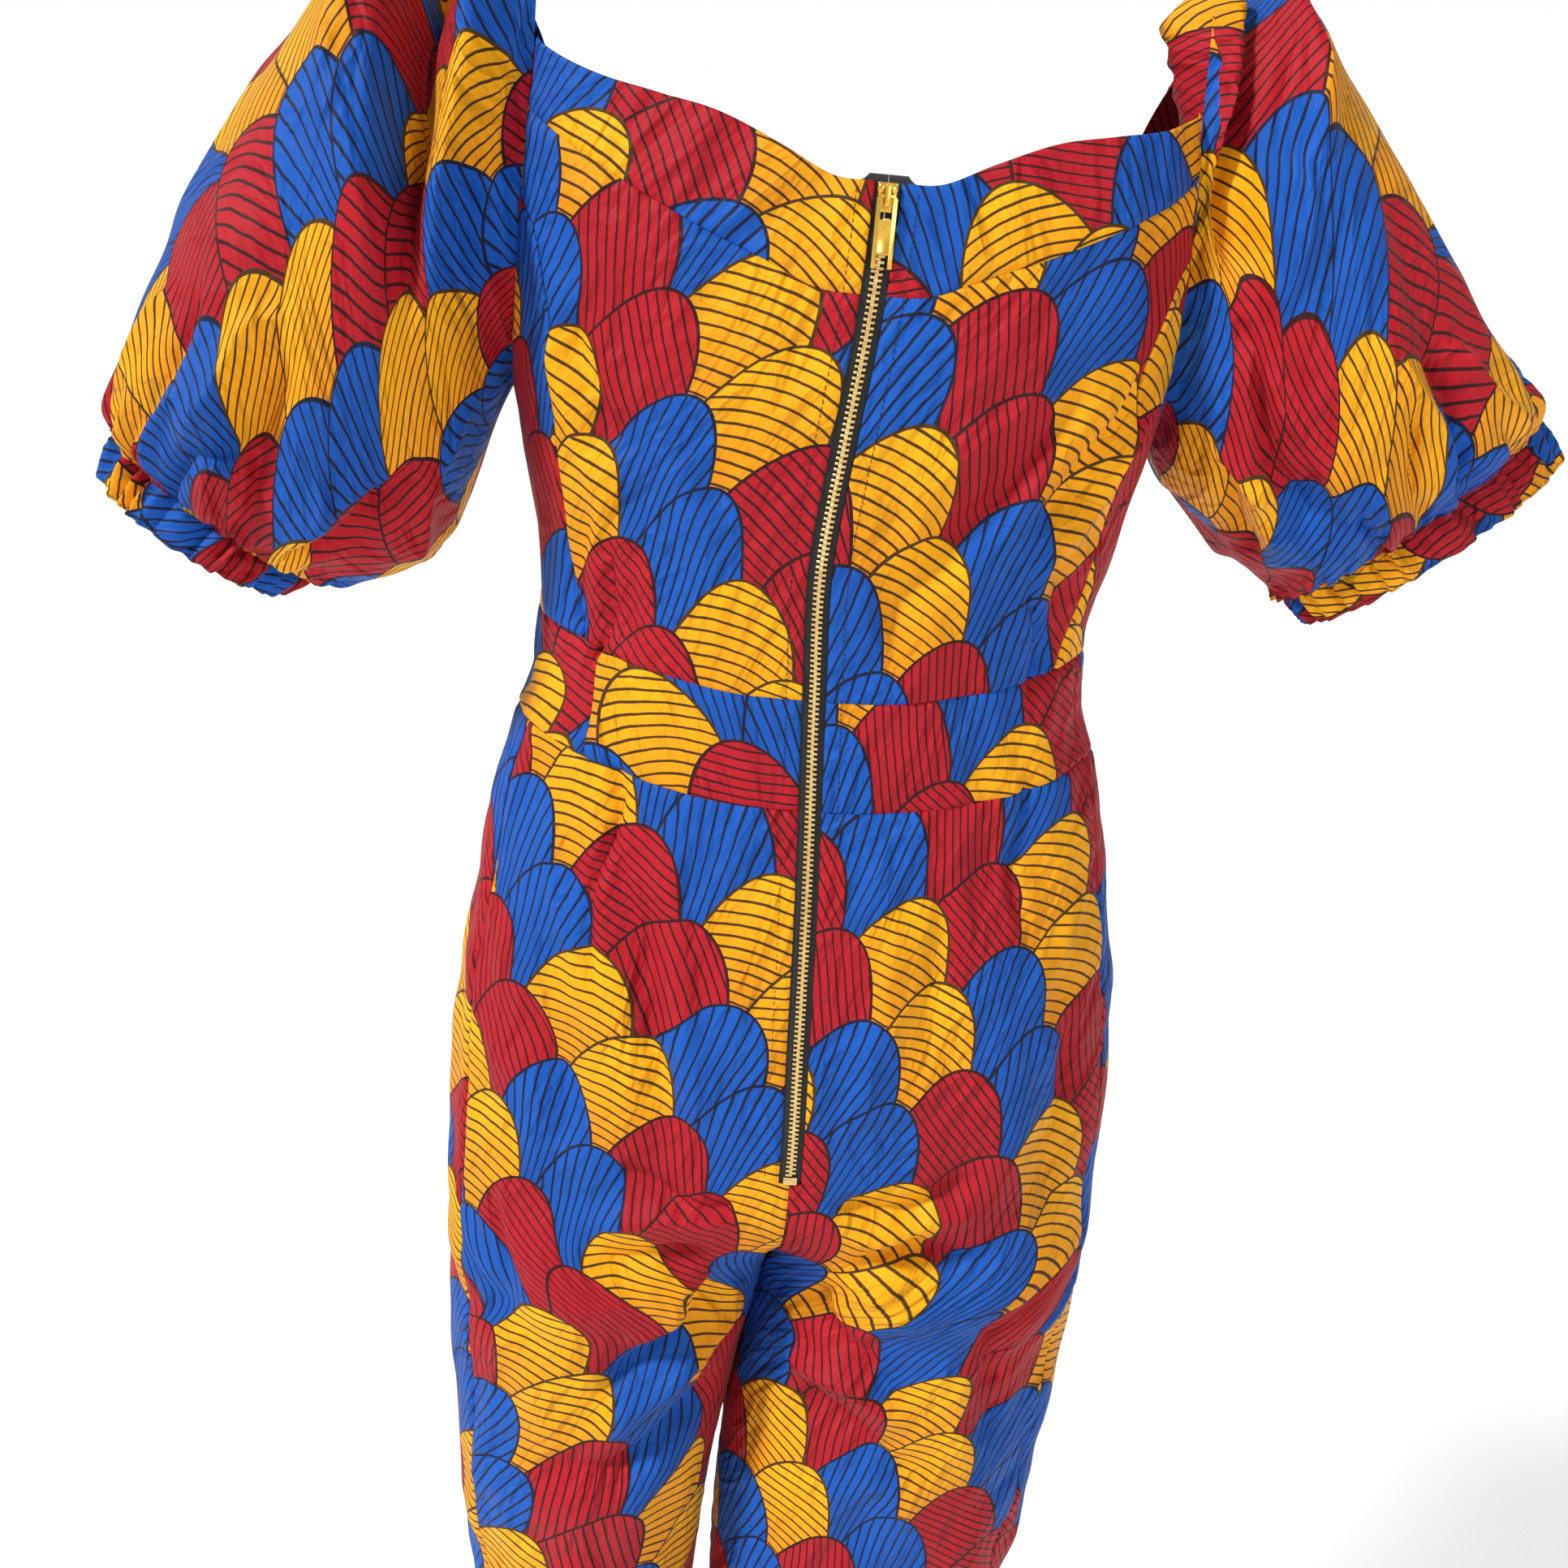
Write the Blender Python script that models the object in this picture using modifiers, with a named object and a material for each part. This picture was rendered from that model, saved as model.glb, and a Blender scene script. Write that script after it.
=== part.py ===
# Off-shoulder jumpsuit of printed cotton, in the hollow form it has when worn.
# Metres, +Z up. The back with its exposed zip faces -Y, and +X is on the right of that view.
# The origin is in the middle of the neck opening, level with the lowest point of the back neckline.

import math

import bpy
import numpy as np
from mathutils import Vector

COLLECTION = "off_shoulder_jumpsuit"
LEFT, RIGHT = -1, 1

# Cloth and seams
WALL = 0.0012
SEAM_GAP = 0.0003
LAYER_GAP = 0.0003
SLEEVE_STEP = 0.0006

# Heights of the main lines on the centre of the back
ZIP_END_Z = -0.4910
ZIP_END_STEP = 0.0008
CROTCH_START_Z = -0.508
CROTCH_END_Z = -0.605
KNEE_Z = -0.820
HEM_Z = -1.200

# Heights at which the search for the waistband's corners starts
WAIST_TOP_GUESS = -0.225
WAIST_FOOT_GUESS = -0.290

# Side seams of the trousers, as a share of the half girth from the centre back
SIDE_SEAM = 0.41

# Armhole: an oval on the side of the body, given by its centre, half height and half girth
ARMHOLE_Z = 0.008
ARMHOLE_HALF_HEIGHT = 0.108
ARMHOLE_HALF_GIRTH = 0.062
ARMHOLE_POWER = 0.91
ARMHOLE_FLAT = 0.025
SIDE_PANEL_TOP_Z = -0.015

# Distances over which the folds fade out beside the centre seams, and over the crotch
FOLD_FADE = 0.02
CROTCH_FADE = 0.03

# Step round the body, as a share of a half turn, from which the outward direction is taken
TURN_STEP = 0.004
SEAM_END = 0.8

# Zip
ZIP_SLOT = 0.0118
TAPE_WIDTH = 0.0155
TAPE_THICK = 0.0010
TAPE_TOP_Z = 0.0025
TAPE_TAIL = 0.001
CHAIN_WIDTH = 0.0058
CHAIN_THICK = 0.0020
CHAIN_TOP_Z = -0.0145
CHAIN_END_Z = -0.4860
STOP_HEIGHT = 0.0042
STOP_WIDTH = 0.0074

# Slider and pull tab
SLIDER_WIDTH = 0.0094
SLIDER_FOOT_WIDTH = 0.0078
SLIDER_TOP_Z = -0.0010
SLIDER_FOOT_Z = -0.0135
SLIDER_THICK = 0.0030
BRIDGE_WIDTH = 0.0026
BRIDGE_HEIGHT = 0.0034
BRIDGE_LENGTH = 0.0092
BRIDGE_BAR = 0.0010
BRIDGE_END = 0.0016
BRIDGE_SUNK = 0.0010
SLIDER_ROUNDING = 0.0008
TAB_ROUNDING = 0.0002
PIN_Z = -0.0068
PIN_LIFT = 0.0012
TAB_WIDTH = 0.0092
TAB_THICK = 0.0013
TAB_LENGTH = 0.0305
TAB_HEAD = 0.0006
TAB_RAIL = 0.0022
TAB_UPPER_WINDOW = 0.0094
TAB_BAR = 0.0042
TAB_PANEL = 0.0092
TAB_PANEL_DEPTH = 0.0004
TAB_LOWER_WINDOW = 0.0056
TAB_SILL = 0.0008

# Faces along and across the cloth. Panels that meet share the points of their seam.
BACK_COLUMNS, SIDE_COLUMNS, FRONT_COLUMNS = 10, (2, 4), 8
YOKE_ROWS, SEAM_ROWS, ARM_ROWS, BAND_ROWS = 3, 8, 2, 3
SHIN_ROWS, THIGH_ROWS, HIP_ROWS = 5, 5, 13
SLEEVE_COLUMNS, CUFF_ROWS = 48, 2
SLEEVE_ROWS = (0.0, 0.05, 0.095, 0.135, 0.175, 0.215, 0.26, 0.34, 0.46, 0.59, 0.72, 0.85, 0.94, 1.0)


class Table:
    """Rows sorted by their first column, read by a smooth curve through them."""

    def __init__(self, columns, rows):
        values = np.array(sorted(rows), dtype=float).T
        self.columns = dict(zip(columns.split(), values))
        self.key = values[0]

    def __call__(self, name, at):
        keys, values = self.key, self.columns[name]
        slopes = np.gradient(values, keys)
        at = np.clip(np.asarray(at, dtype=float), keys[0], keys[-1])
        i = np.clip(np.searchsorted(keys, at) - 1, 0, len(keys) - 2)
        step = keys[i + 1] - keys[i]
        t = (at - keys[i]) / step
        rise = t * t * (3 - 2 * t)
        first = (1 - rise) * values[i] + rise * values[i + 1]
        return first + step * t * (1 - t) * ((1 - t) * slopes[i] - t * slopes[i + 1])


# Sections of the body and, below the crotch, the outer side of the legs
BODY = Table("z half_width back_depth front_depth squareness lean", [
    (0.125, 0.1560, 0.088, 0.078, 3.2, 0.0),
    (0.050, 0.1620, 0.098, 0.086, 3.2, 0.0),
    (0.000, 0.1650, 0.104, 0.094, 3.2, 0.0),
    (-0.050, 0.1650, 0.105, 0.106, 3.0, 0.0),
    (-0.100, 0.1610, 0.102, 0.112, 2.7, 0.0),
    (-0.150, 0.1510, 0.096, 0.104, 2.4, 0.0),
    (-0.210, 0.1435, 0.087, 0.090, 2.25, 0.0),
    (-0.240, 0.1470, 0.083, 0.086, 2.2, 0.0006),
    (-0.300, 0.1635, 0.084, 0.091, 2.2, 0.0018),
    (-0.360, 0.1745, 0.092, 0.098, 2.2, 0.0028),
    (-0.420, 0.1828, 0.097, 0.099, 2.2, 0.0040),
    (-0.480, 0.1866, 0.096, 0.095, 2.2, 0.0048),
    (-0.540, 0.1868, 0.091, 0.089, 2.2, 0.0050),
    (-0.600, 0.1846, 0.084, 0.083, 2.2, 0.0045),
    (-0.690, 0.1796, 0.076, 0.076, 2.2, 0.0040),
    (-0.780, 0.1690, 0.067, 0.068, 2.2, 0.0045),
    (-0.900, 0.1560, 0.062, 0.061, 2.2, 0.0040),
    (-1.050, 0.1420, 0.057, 0.054, 2.2, 0.0020),
    (-1.200, 0.1300, 0.052, 0.050, 2.2, 0.0)])
# The armholes' front edges stand further out than the back edges, above the neckline
FRONT_SPREAD = 0.022
FRONT_SPREAD_Z, FRONT_SPREAD_RISE = 0.020, 0.090
SEAT_FULLNESS = 0.12

# The line of the zip, then of the centre seam, then the middle of the gap between the legs
CENTRE = Table("z x half_gap", [
    (0.125, 0.0066, 0.0),
    (0.000, 0.0066, 0.0),
    (-0.060, 0.0036, 0.0),
    (-0.110, -0.0015, 0.0),
    (-0.170, -0.0066, 0.0),
    (-0.236, -0.0034, 0.0),
    (-0.300, 0.0000, 0.0),
    (-0.420, 0.0038, 0.0),
    (-0.490, 0.0058, 0.0),
    (-0.600, 0.0020, 0.0),
    (-0.640, -0.0060, 0.0014),
    (-0.720, -0.0150, 0.0030),
    (-0.810, -0.0180, 0.0052),
    (-0.950, -0.0130, 0.0150),
    (-1.200, -0.0040, 0.0300)])

# Lines of the cut, by the distance from the centre line along the cloth, as shares of the half girth
YOKE_TOP = Table("share z", [
    (0.000, 0.0000), (0.050, 0.0000), (0.100, 0.0100), (0.167, 0.0220), (0.225, 0.0275),
    (0.290, 0.0340), (0.350, 0.0440), (0.400, 0.0540), (0.58, 0.0480), (0.68, 0.0200),
    (0.80, -0.0040), (0.92, -0.0140), (1.00, -0.0160)])
YOKE_SEAM = Table("share z", [
    (0.000, -0.0480), (0.060, -0.0460), (0.100, -0.0380), (0.158, -0.0280), (0.215, -0.0165),
    (0.290, 0.0000), (0.350, 0.0140), (0.400, 0.0240), (0.58, 0.0180), (0.70, -0.0260),
    (0.82, -0.0480), (0.93, -0.0600), (1.00, -0.0620)])
WAIST_TOP = Table("share z", [
    (0.00, -0.2365), (0.10, -0.2355), (0.25, -0.2270), (0.42, -0.2130), (0.55, -0.2110),
    (0.80, -0.2200), (1.00, -0.2240)])
WAIST_FOOT = Table("share z", [
    (0.00, -0.2925), (0.10, -0.2910), (0.25, -0.2820), (0.42, -0.2680), (0.55, -0.2660),
    (0.80, -0.2750), (1.00, -0.2790)])

# Seam between back and side panels of the bodice: distance from the mid-plane, seen from behind
SIDE_BACK_SEAM = Table("z x", [
    (-0.015, 0.1570), (-0.032, 0.1475), (-0.058, 0.1405), (-0.095, 0.1375), (-0.145, 0.1325),
    (-0.190, 0.1270), (-0.225, 0.1190)])

# Seams across the waistband, by the column of faces where they are
BAND_SEAM_COLUMN = {LEFT: 9, RIGHT: 12}

# Sleeves: the line of each section from its low point to its top, and its half depth
SLEEVE_COLUMN_NAMES = "t top_x top_z low_x low_z half_depth"
SLEEVES = {
    LEFT: Table(SLEEVE_COLUMN_NAMES, [
        (0.00, 0.160, 0.116, 0.163, -0.100, 0.062),
        (0.12, 0.186, 0.130, 0.171, -0.118, 0.080),
        (0.30, 0.236, 0.096, 0.180, -0.150, 0.096),
        (0.50, 0.294, 0.010, 0.192, -0.180, 0.096),
        (0.70, 0.331, -0.056, 0.211, -0.198, 0.088),
        (0.85, 0.349, -0.099, 0.236, -0.207, 0.075),
        (0.95, 0.357, -0.131, 0.256, -0.208, 0.057),
        (1.00, 0.353, -0.144, 0.266, -0.204, 0.046),
        (1.04, 0.359, -0.154, 0.272, -0.211, 0.048),
        (1.08, 0.364, -0.163, 0.279, -0.217, 0.046)]),
    RIGHT: Table(SLEEVE_COLUMN_NAMES, [
        (0.00, 0.160, 0.116, 0.163, -0.100, 0.062),
        (0.12, 0.182, 0.119, 0.171, -0.119, 0.080),
        (0.30, 0.227, 0.078, 0.184, -0.131, 0.095),
        (0.50, 0.276, 0.018, 0.203, -0.145, 0.095),
        (0.70, 0.312, -0.026, 0.224, -0.162, 0.084),
        (0.85, 0.345, -0.051, 0.240, -0.172, 0.070),
        (0.95, 0.363, -0.066, 0.249, -0.178, 0.050),
        (1.00, 0.366, -0.077, 0.254, -0.176, 0.036),
        (1.04, 0.375, -0.086, 0.260, -0.184, 0.039),
        (1.08, 0.382, -0.095, 0.267, -0.191, 0.036)])}
SLEEVE_BLEND = 0.24
SLEEVE_LENGTH = 0.27
SLEEVE_RADIUS = 0.09
SEAM_T = 1.0
SEAM_FADE = 0.06
CUFF_START_T = 0.98
CUFF_FADE = 0.04
CUFF_END_T = 1.08

# Gathers round the sleeve: how many, where they are highest, how far they fade, and their height
GATHERS = [
    dict(count=16, t=0.03, fade=0.10, height=0.0020, turn=0.3),
    dict(count=16, t=0.97, fade=0.11, height=0.0026, turn=0.0)]
CUFF_RUCHES = dict(count=16, height=0.0013)

# Largest folds of body and legs: from and to, as distance along the cloth from the centre line and
# height, then half width and height (a trough is negative)
BODY_FOLDS = {
    LEFT: [
        (0.088, -0.295, 0.062, -0.520, 0.009, -0.0045),
        (0.073, -0.300, 0.048, -0.520, 0.014, 0.0040),
        (0.095, -0.070, 0.045, -0.205, 0.012, 0.0035),
        (0.112, -0.060, 0.062, -0.200, 0.011, -0.0030),
        (0.130, -0.330, 0.110, -0.560, 0.016, -0.0040),
        (0.050, -0.520, 0.110, -0.585, 0.014, 0.0045),
        (0.070, -0.650, 0.130, -0.820, 0.020, 0.0050),
        (0.150, -0.700, 0.090, -0.980, 0.022, -0.0045)],
    RIGHT: [
        (0.095, -0.295, 0.088, -0.345, 0.010, -0.0035),
        (0.125, -0.075, 0.050, -0.205, 0.012, 0.0035),
        (0.110, -0.060, 0.030, -0.215, 0.010, -0.0030),
        (0.120, -0.380, 0.100, -0.560, 0.018, 0.0040),
        (0.050, -0.520, 0.120, -0.565, 0.013, -0.0045),
        (0.060, -0.550, 0.120, -0.640, 0.015, 0.0045),
        (0.090, -0.640, 0.150, -0.840, 0.020, -0.0050),
        (0.140, -0.760, 0.080, -1.020, 0.022, 0.0045)]}

# Largest folds of the sleeves: from and to, as turn round the sleeve in degrees (0 under the arm,
# 90 at the back, 180 on top) and t, then half width and height
SLEEVE_FOLDS = {
    LEFT: [
        (205, 0.165, 95, 0.175, 0.010, -0.0250),
        (190, 0.100, 70, 0.105, 0.011, 0.0060),
        (180, 0.255, 95, 0.265, 0.016, 0.0050),
        (130, 0.45, 95, 0.90, 0.016, 0.0060),
        (110, 0.42, 70, 0.88, 0.012, -0.0080),
        (60, 0.35, 30, 0.85, 0.013, -0.0070),
        (215, 0.30, 230, 0.85, 0.016, -0.0070),
        (270, 0.25, 285, 0.80, 0.018, 0.0060)],
    RIGHT: [
        (190, 0.130, 105, 0.140, 0.010, -0.0150),
        (180, 0.215, 90, 0.225, 0.014, 0.0060),
        (75, 0.10, 48, 0.80, 0.012, -0.0090),
        (55, 0.08, 28, 0.72, 0.011, 0.0050),
        (125, 0.40, 100, 0.92, 0.014, -0.0070),
        (150, 0.45, 140, 0.90, 0.014, 0.0060),
        (220, 0.30, 235, 0.85, 0.016, -0.0070),
        (275, 0.25, 290, 0.80, 0.018, 0.0050)]}

CLOTH_RED = "#C8262B"
CLOTH_BLUE = "#1F56D8"
CLOTH_YELLOW = "#F7B014"
TAPE_BLACK = "#17161A"
BRASS = "#D9B45A"


def ramp(value):
    """Soft step from 0 to 1."""
    value = np.clip(value, 0.0, 1.0)
    return value * value * (3 - 2 * value)


def section_point(side, turn, z):
    """A point of half a section: turn 0 at the back centre line, 0.5 at the side, 1 at the front."""
    half = np.where(turn < 0.5, turn * 2, 2 - turn * 2)
    share = np.where(turn < 0.5, ramp(half) / 2, 1 - ramp(half) / 2)
    power = 2 / BODY("squareness", z)
    width = BODY("half_width", z)
    depth = np.where(share < 0.5, BODY("back_depth", z), BODY("front_depth", z))
    sine, cosine = np.abs(np.sin(np.pi * share)), np.cos(np.pi * share)
    centre = CENTRE("x", z)
    near, lean = ramp(1 - share / 0.3), BODY("lean", z)
    spread = ramp((z - FRONT_SPREAD_Z) / FRONT_SPREAD_RISE) * ramp((share - 0.44) / 0.16)
    width = width + FRONT_SPREAD * spread
    body_x = side * width * sine ** power + centre * near + lean * (1 - near)
    body_y = -np.sign(cosine) * depth * np.abs(cosine) ** power
    inner, outer = centre + side * CENTRE("half_gap", z), side * width + lean
    leg_x = (inner + outer) / 2 - (outer - inner) / 2 * np.cos(2 * np.pi * share)
    leg_y = -depth * np.sin(2 * np.pi * share)
    leg = ramp((CROTCH_START_Z - z) / (CROTCH_START_Z - CROTCH_END_Z))
    y = (body_y * (1 - leg) + leg_y * leg) * (1 + SEAT_FULLNESS * 4 * leg * (1 - leg))
    return body_x * (1 - leg) + leg_x * leg, y


class HalfBody:
    """One side of the body and its leg, measured along the cloth."""

    HEIGHTS = np.linspace(HEM_Z - 0.01, 0.125, 320)
    TURNS = np.linspace(0, 1, 241)
    SHARES = np.linspace(0, 1, 201)

    def __init__(self, side):
        self.side = side
        heights, turns = np.meshgrid(self.HEIGHTS, self.TURNS, indexing="ij")
        x, y = section_point(side, turns, heights)
        steps = np.hypot(np.diff(x, axis=1), np.diff(y, axis=1))
        arcs = np.concatenate([np.zeros((len(x), 1)), np.cumsum(steps, axis=1)], axis=1)
        self.girths = arcs[:, -1]
        self.turns = np.array([np.interp(self.SHARES, row / row[-1], self.TURNS) for row in arcs])
        self.sides = np.array([np.interp(0.5, self.TURNS, row / row[-1]) for row in arcs])

    def girth(self, z):
        return np.interp(z, self.HEIGHTS, self.girths)

    def side_share(self, z):
        return np.interp(z, self.HEIGHTS, self.sides)

    def turn(self, share, z):
        row = np.interp(z, self.HEIGHTS, np.arange(len(self.HEIGHTS)))
        column = np.clip(share, 0, 1) * (len(self.SHARES) - 1)
        i = np.minimum(row.astype(int), len(self.HEIGHTS) - 2)
        j = np.minimum(column.astype(int), len(self.SHARES) - 2)
        di, dj = row - i, column - j
        low = self.turns[i, j] * (1 - dj) + self.turns[i, j + 1] * dj
        high = self.turns[i + 1, j] * (1 - dj) + self.turns[i + 1, j + 1] * dj
        return low * (1 - di) + high * di

    def share_at_x(self, distance, z):
        """Share of the half girth at a distance from the mid-plane, on the back."""
        turns = np.linspace(0, 0.5, 400)
        shares = []
        for value, height in zip(np.ravel(distance), np.ravel(z)):
            x, y = section_point(self.side, turns, np.full_like(turns, height))
            arc = np.concatenate([[0], np.cumsum(np.hypot(np.diff(x), np.diff(y)))])
            shares.append(np.interp(value, self.side * x, arc) / self.girth(height))
        return np.reshape(shares, np.shape(distance))

    def folds(self, share, z):
        """Height of the large folds, none on the centre seams, the armhole or the neckline."""
        girth = self.girth(z)
        arc = share * girth
        height = sum(fold_height(fold, arc, z) for fold in BODY_FOLDS[self.side])
        margin = TAPE_WIDTH + FOLD_FADE * ramp((CROTCH_START_Z - z) / CROTCH_FADE)
        clear = ramp((arc - margin) / FOLD_FADE) * ramp((girth - margin - arc) / FOLD_FADE)
        from_side = (share - self.side_share(z)) * girth / (ARMHOLE_HALF_GIRTH + ARMHOLE_FLAT)
        from_middle = (z - ARMHOLE_Z) / (ARMHOLE_HALF_HEIGHT + ARMHOLE_FLAT)
        return height * clear * ramp((np.hypot(from_side, from_middle) - 0.8) / 0.3)

    def point(self, share, z, out=0.0):
        """The cloth's outer face at a share of the half girth and a height, moved out by out."""
        share, z = np.broadcast_arrays(np.asarray(share, float), np.asarray(z, float))
        turn = self.turn(share, z)
        before, after = np.clip(turn - TURN_STEP, 0, 1), np.clip(turn + TURN_STEP, 0, 1)
        x, y = section_point(self.side, turn, z)
        x0, y0 = section_point(self.side, before, z)
        x1, y1 = section_point(self.side, after, z)
        length = np.hypot(x1 - x0, y1 - y0)
        normal_x, normal_y = self.side * (y1 - y0) / length, -self.side * (x1 - x0) / length
        lift = out + self.folds(share, z)
        x, y = x + normal_x * lift, y + normal_y * lift
        middle = CENTRE("x", z)
        inner = middle + self.side * np.maximum(self.side * (x - middle), SEAM_GAP * 0.6)
        return np.stack([np.where(z < CROTCH_START_Z, inner, x), y, z], axis=-1)

    def armhole(self, angle):
        """The armhole as (share, z): angle 0 under the arm, pi/2 at the back, pi on the shoulder."""
        sine, cosine = np.sin(angle), np.cos(angle)
        z = ARMHOLE_Z - ARMHOLE_HALF_HEIGHT * np.sign(cosine) * np.abs(cosine) ** ARMHOLE_POWER
        arc = ARMHOLE_HALF_GIRTH * np.sign(sine) * np.abs(sine) ** ARMHOLE_POWER
        return self.side_share(z) - arc / self.girth(z), z


def fold_height(fold, along, across):
    """Gaussian ridge or trough along a straight run."""
    a0, z0, a1, z1, half_width, height = fold
    run = np.array([a1 - a0, z1 - z0])
    t = np.clip(((along - a0) * run[0] + (across - z0) * run[1]) / run.dot(run), 0, 1)
    distance = np.hypot(along - a0 - t * run[0], across - z0 - t * run[1])
    return height * np.exp(-(distance / half_width) ** 2) * (0.35 + 0.65 * np.sin(np.pi * t))


BODIES = {LEFT: HalfBody(LEFT), RIGHT: HalfBody(RIGHT)}


def armhole_angle(z):
    """Angle of the armhole's back edge at a height."""
    level = (ARMHOLE_Z - z) / ARMHOLE_HALF_HEIGHT
    return math.acos(math.copysign(abs(level) ** (1 / ARMHOLE_POWER), level))


def sleeve_point(side, angle, t):
    """The sleeve's outer face: angle round the sleeve as on the armhole, t along it."""
    table, body = SLEEVES[side], BODIES[side]
    top = np.stack([table("top_x", t), table("top_z", t)], axis=-1)
    low = np.stack([table("low_x", t), table("low_z", t)], axis=-1)
    middle, half = (top + low) / 2, (top - low) / 2
    half_length, depth = np.linalg.norm(half, axis=-1), table("half_depth", t)
    sine, cosine = np.sin(angle), np.cos(angle)
    lift = sleeve_lift(side, angle, t)
    reach = 1 + lift / np.hypot(half_length * cosine, depth * sine)
    ring = np.stack([side * (middle[..., 0] - half[..., 0] * cosine * reach),
                     -depth * sine * reach,
                     middle[..., 1] - half[..., 1] * cosine * reach], axis=-1)
    share, z = body.armhole(angle)
    seam = body.point(share, z, SLEEVE_STEP)
    blend = ramp(t / SLEEVE_BLEND)[..., None]
    return seam * (1 - blend) + ring * blend


def sleeve_lift(side, angle, t):
    """Gathers at the sleeve's head and cuff, the cuff's ruches and the large folds."""
    lift = np.zeros(np.broadcast(angle, t).shape)
    for gather in GATHERS:
        wave = np.cos(gather["count"] * angle + gather["turn"] * side)
        lift = lift + gather["height"] * wave * np.exp(-((t - gather["t"]) / gather["fade"]) ** 2)
    sleeve = ramp((SEAM_T - t) / SEAM_FADE)
    for fold in SLEEVE_FOLDS[side]:
        start, t0, end, t1, half_width, height = fold
        metric = (math.radians(start) * SLEEVE_RADIUS, t0 * SLEEVE_LENGTH,
                  math.radians(end) * SLEEVE_RADIUS, t1 * SLEEVE_LENGTH, half_width, height)
        lift = lift + sleeve * fold_height(metric, angle * SLEEVE_RADIUS, t * SLEEVE_LENGTH)
    ruche = CUFF_RUCHES["height"] * np.cos(CUFF_RUCHES["count"] * angle)
    return lift + ruche * ramp((t - CUFF_START_T) / CUFF_FADE)


def patch(left, right, foot, top, across, up):
    """Shares and heights inside four edges, each a function of 0..1 (Coons patch)."""
    u, v = np.meshgrid(across, up, indexing="ij")
    corners = [foot(np.array(0.0)), foot(np.array(1.0)), top(np.array(0.0)), top(np.array(1.0))]
    result = []
    for k in range(2):
        ruled = (1 - u) * left(v)[k] + u * right(v)[k] + (1 - v) * foot(u)[k] + v * top(u)[k]
        c00, c10, c01, c11 = (corner[k] for corner in corners)
        flat = (1 - u) * (1 - v) * c00 + u * (1 - v) * c10 + (1 - u) * v * c01 + u * v * c11
        result.append(ruled - flat)
    return result


def edge_up(share_at, z0, z1):
    """Edge that runs up from z0 to z1 at share_at(z)."""
    def edge(t):
        z = z0 + (z1 - z0) * t
        return share_at(z), z
    return edge


def edge_across(z_at, share0, share1):
    """Edge that runs round from share0 to share1 at z_at(share)."""
    def edge(t):
        share = share0 + (share1 - share0) * t
        return share, z_at(share)
    return edge


def crossing(share_at, z_at, z):
    """Where an edge that runs up meets one that runs round."""
    z = np.array(float(z))
    for _ in range(30):
        share = share_at(z)
        z = z_at(share)
    return float(share), float(z)


def unit(vectors):
    return vectors / np.linalg.norm(vectors, axis=-1, keepdims=True)


def inset(grid):
    """Draws the four edges of a grid in by half a seam gap, and more where the wall's inner
    face leans towards the seam because the cloth bends there."""
    whole, grid = grid, grid.copy()
    for axis in (0, 1):
        lines = np.moveaxis(whole, axis, 0)
        for edge, order in ((0, lines), (-1, lines[::-1])):
            along = unit(np.gradient(order[0], axis=0))
            steps = [step - along * np.sum(step * along, axis=1, keepdims=True)
                     for step in (order[1] - order[0], order[2] - order[1])]
            bend = np.linalg.norm(unit(steps[1]) - unit(steps[0]), axis=1, keepdims=True) / 2
            distance = SEAM_GAP / 2 + WALL * bend
            move = (order[1] - order[0]) * distance / np.linalg.norm(steps[0], axis=1,
                                                                      keepdims=True)
            index = [slice(None)] * 3
            index[axis] = edge
            grid[tuple(index)] += move
    return grid


def linear(hex_colour):
    """sRGB hex colour as linear RGBA."""
    channels = [int(hex_colour[i:i + 2], 16) / 255 for i in (1, 3, 5)]
    return [c / 12.92 if c <= 0.04045 else ((c + 0.055) / 1.055) ** 2.4 for c in channels] + [1.0]


def give_material(item, colour, roughness, metallic):
    material = bpy.data.materials.new(item.name + "_material")
    material.use_nodes = True
    shader = material.node_tree.nodes["Principled BSDF"]
    shader.inputs["Base Color"].default_value = linear(colour)
    shader.inputs["Roughness"].default_value = roughness
    shader.inputs["Metallic"].default_value = metallic
    item.data.materials.append(material)


def link(item):
    for collection in item.users_collection:
        collection.objects.unlink(item)
    bpy.data.collections[COLLECTION].objects.link(item)


def cloth_wall(name, grid, flip, closed=False, wall=WALL, colour=CLOTH_BLUE, roughness=0.85):
    """A sheet of cloth from a grid of points on its outer face, thickened inwards."""
    columns, rows = grid.shape[:2]
    faces = []
    for i in range(columns if closed else columns - 1):
        for j in range(rows - 1):
            k = (i + 1) % columns
            face = (i * rows + j, k * rows + j, k * rows + j + 1, i * rows + j + 1)
            faces.append(face[::-1] if flip else face)
    mesh = bpy.data.meshes.new(name)
    mesh.from_pydata(grid.reshape(-1, 3).tolist(), [], faces)
    mesh.shade_smooth()
    item = bpy.data.objects.new(name, mesh)
    bpy.data.collections[COLLECTION].objects.link(item)
    solidify = item.modifiers.new("wall", "SOLIDIFY")
    solidify.thickness = wall
    solidify.offset = -1.0
    give_material(item, colour, roughness, 0.0)
    return item


def panel(name, side, edges, across, up, colour):
    """A panel of one half of the body, cut back by half a seam gap all round."""
    share, z = patch(*edges, across, up)
    grid = inset(BODIES[side].point(share, z))
    return cloth_wall(name, grid, side == LEFT, colour=colour)


def wide_panel(name, edges, across, up, colour):
    """A panel that runs round the front from one half of the body to the other."""
    halves = []
    for side in (RIGHT, LEFT):
        share, z = patch(*edges[side], across[side], up)
        halves.append(BODIES[side].point(share, z))
    grid = np.concatenate([halves[0], halves[1][::-1][1:]])
    return cloth_wall(name, inset(grid), False, colour=colour)


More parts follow.
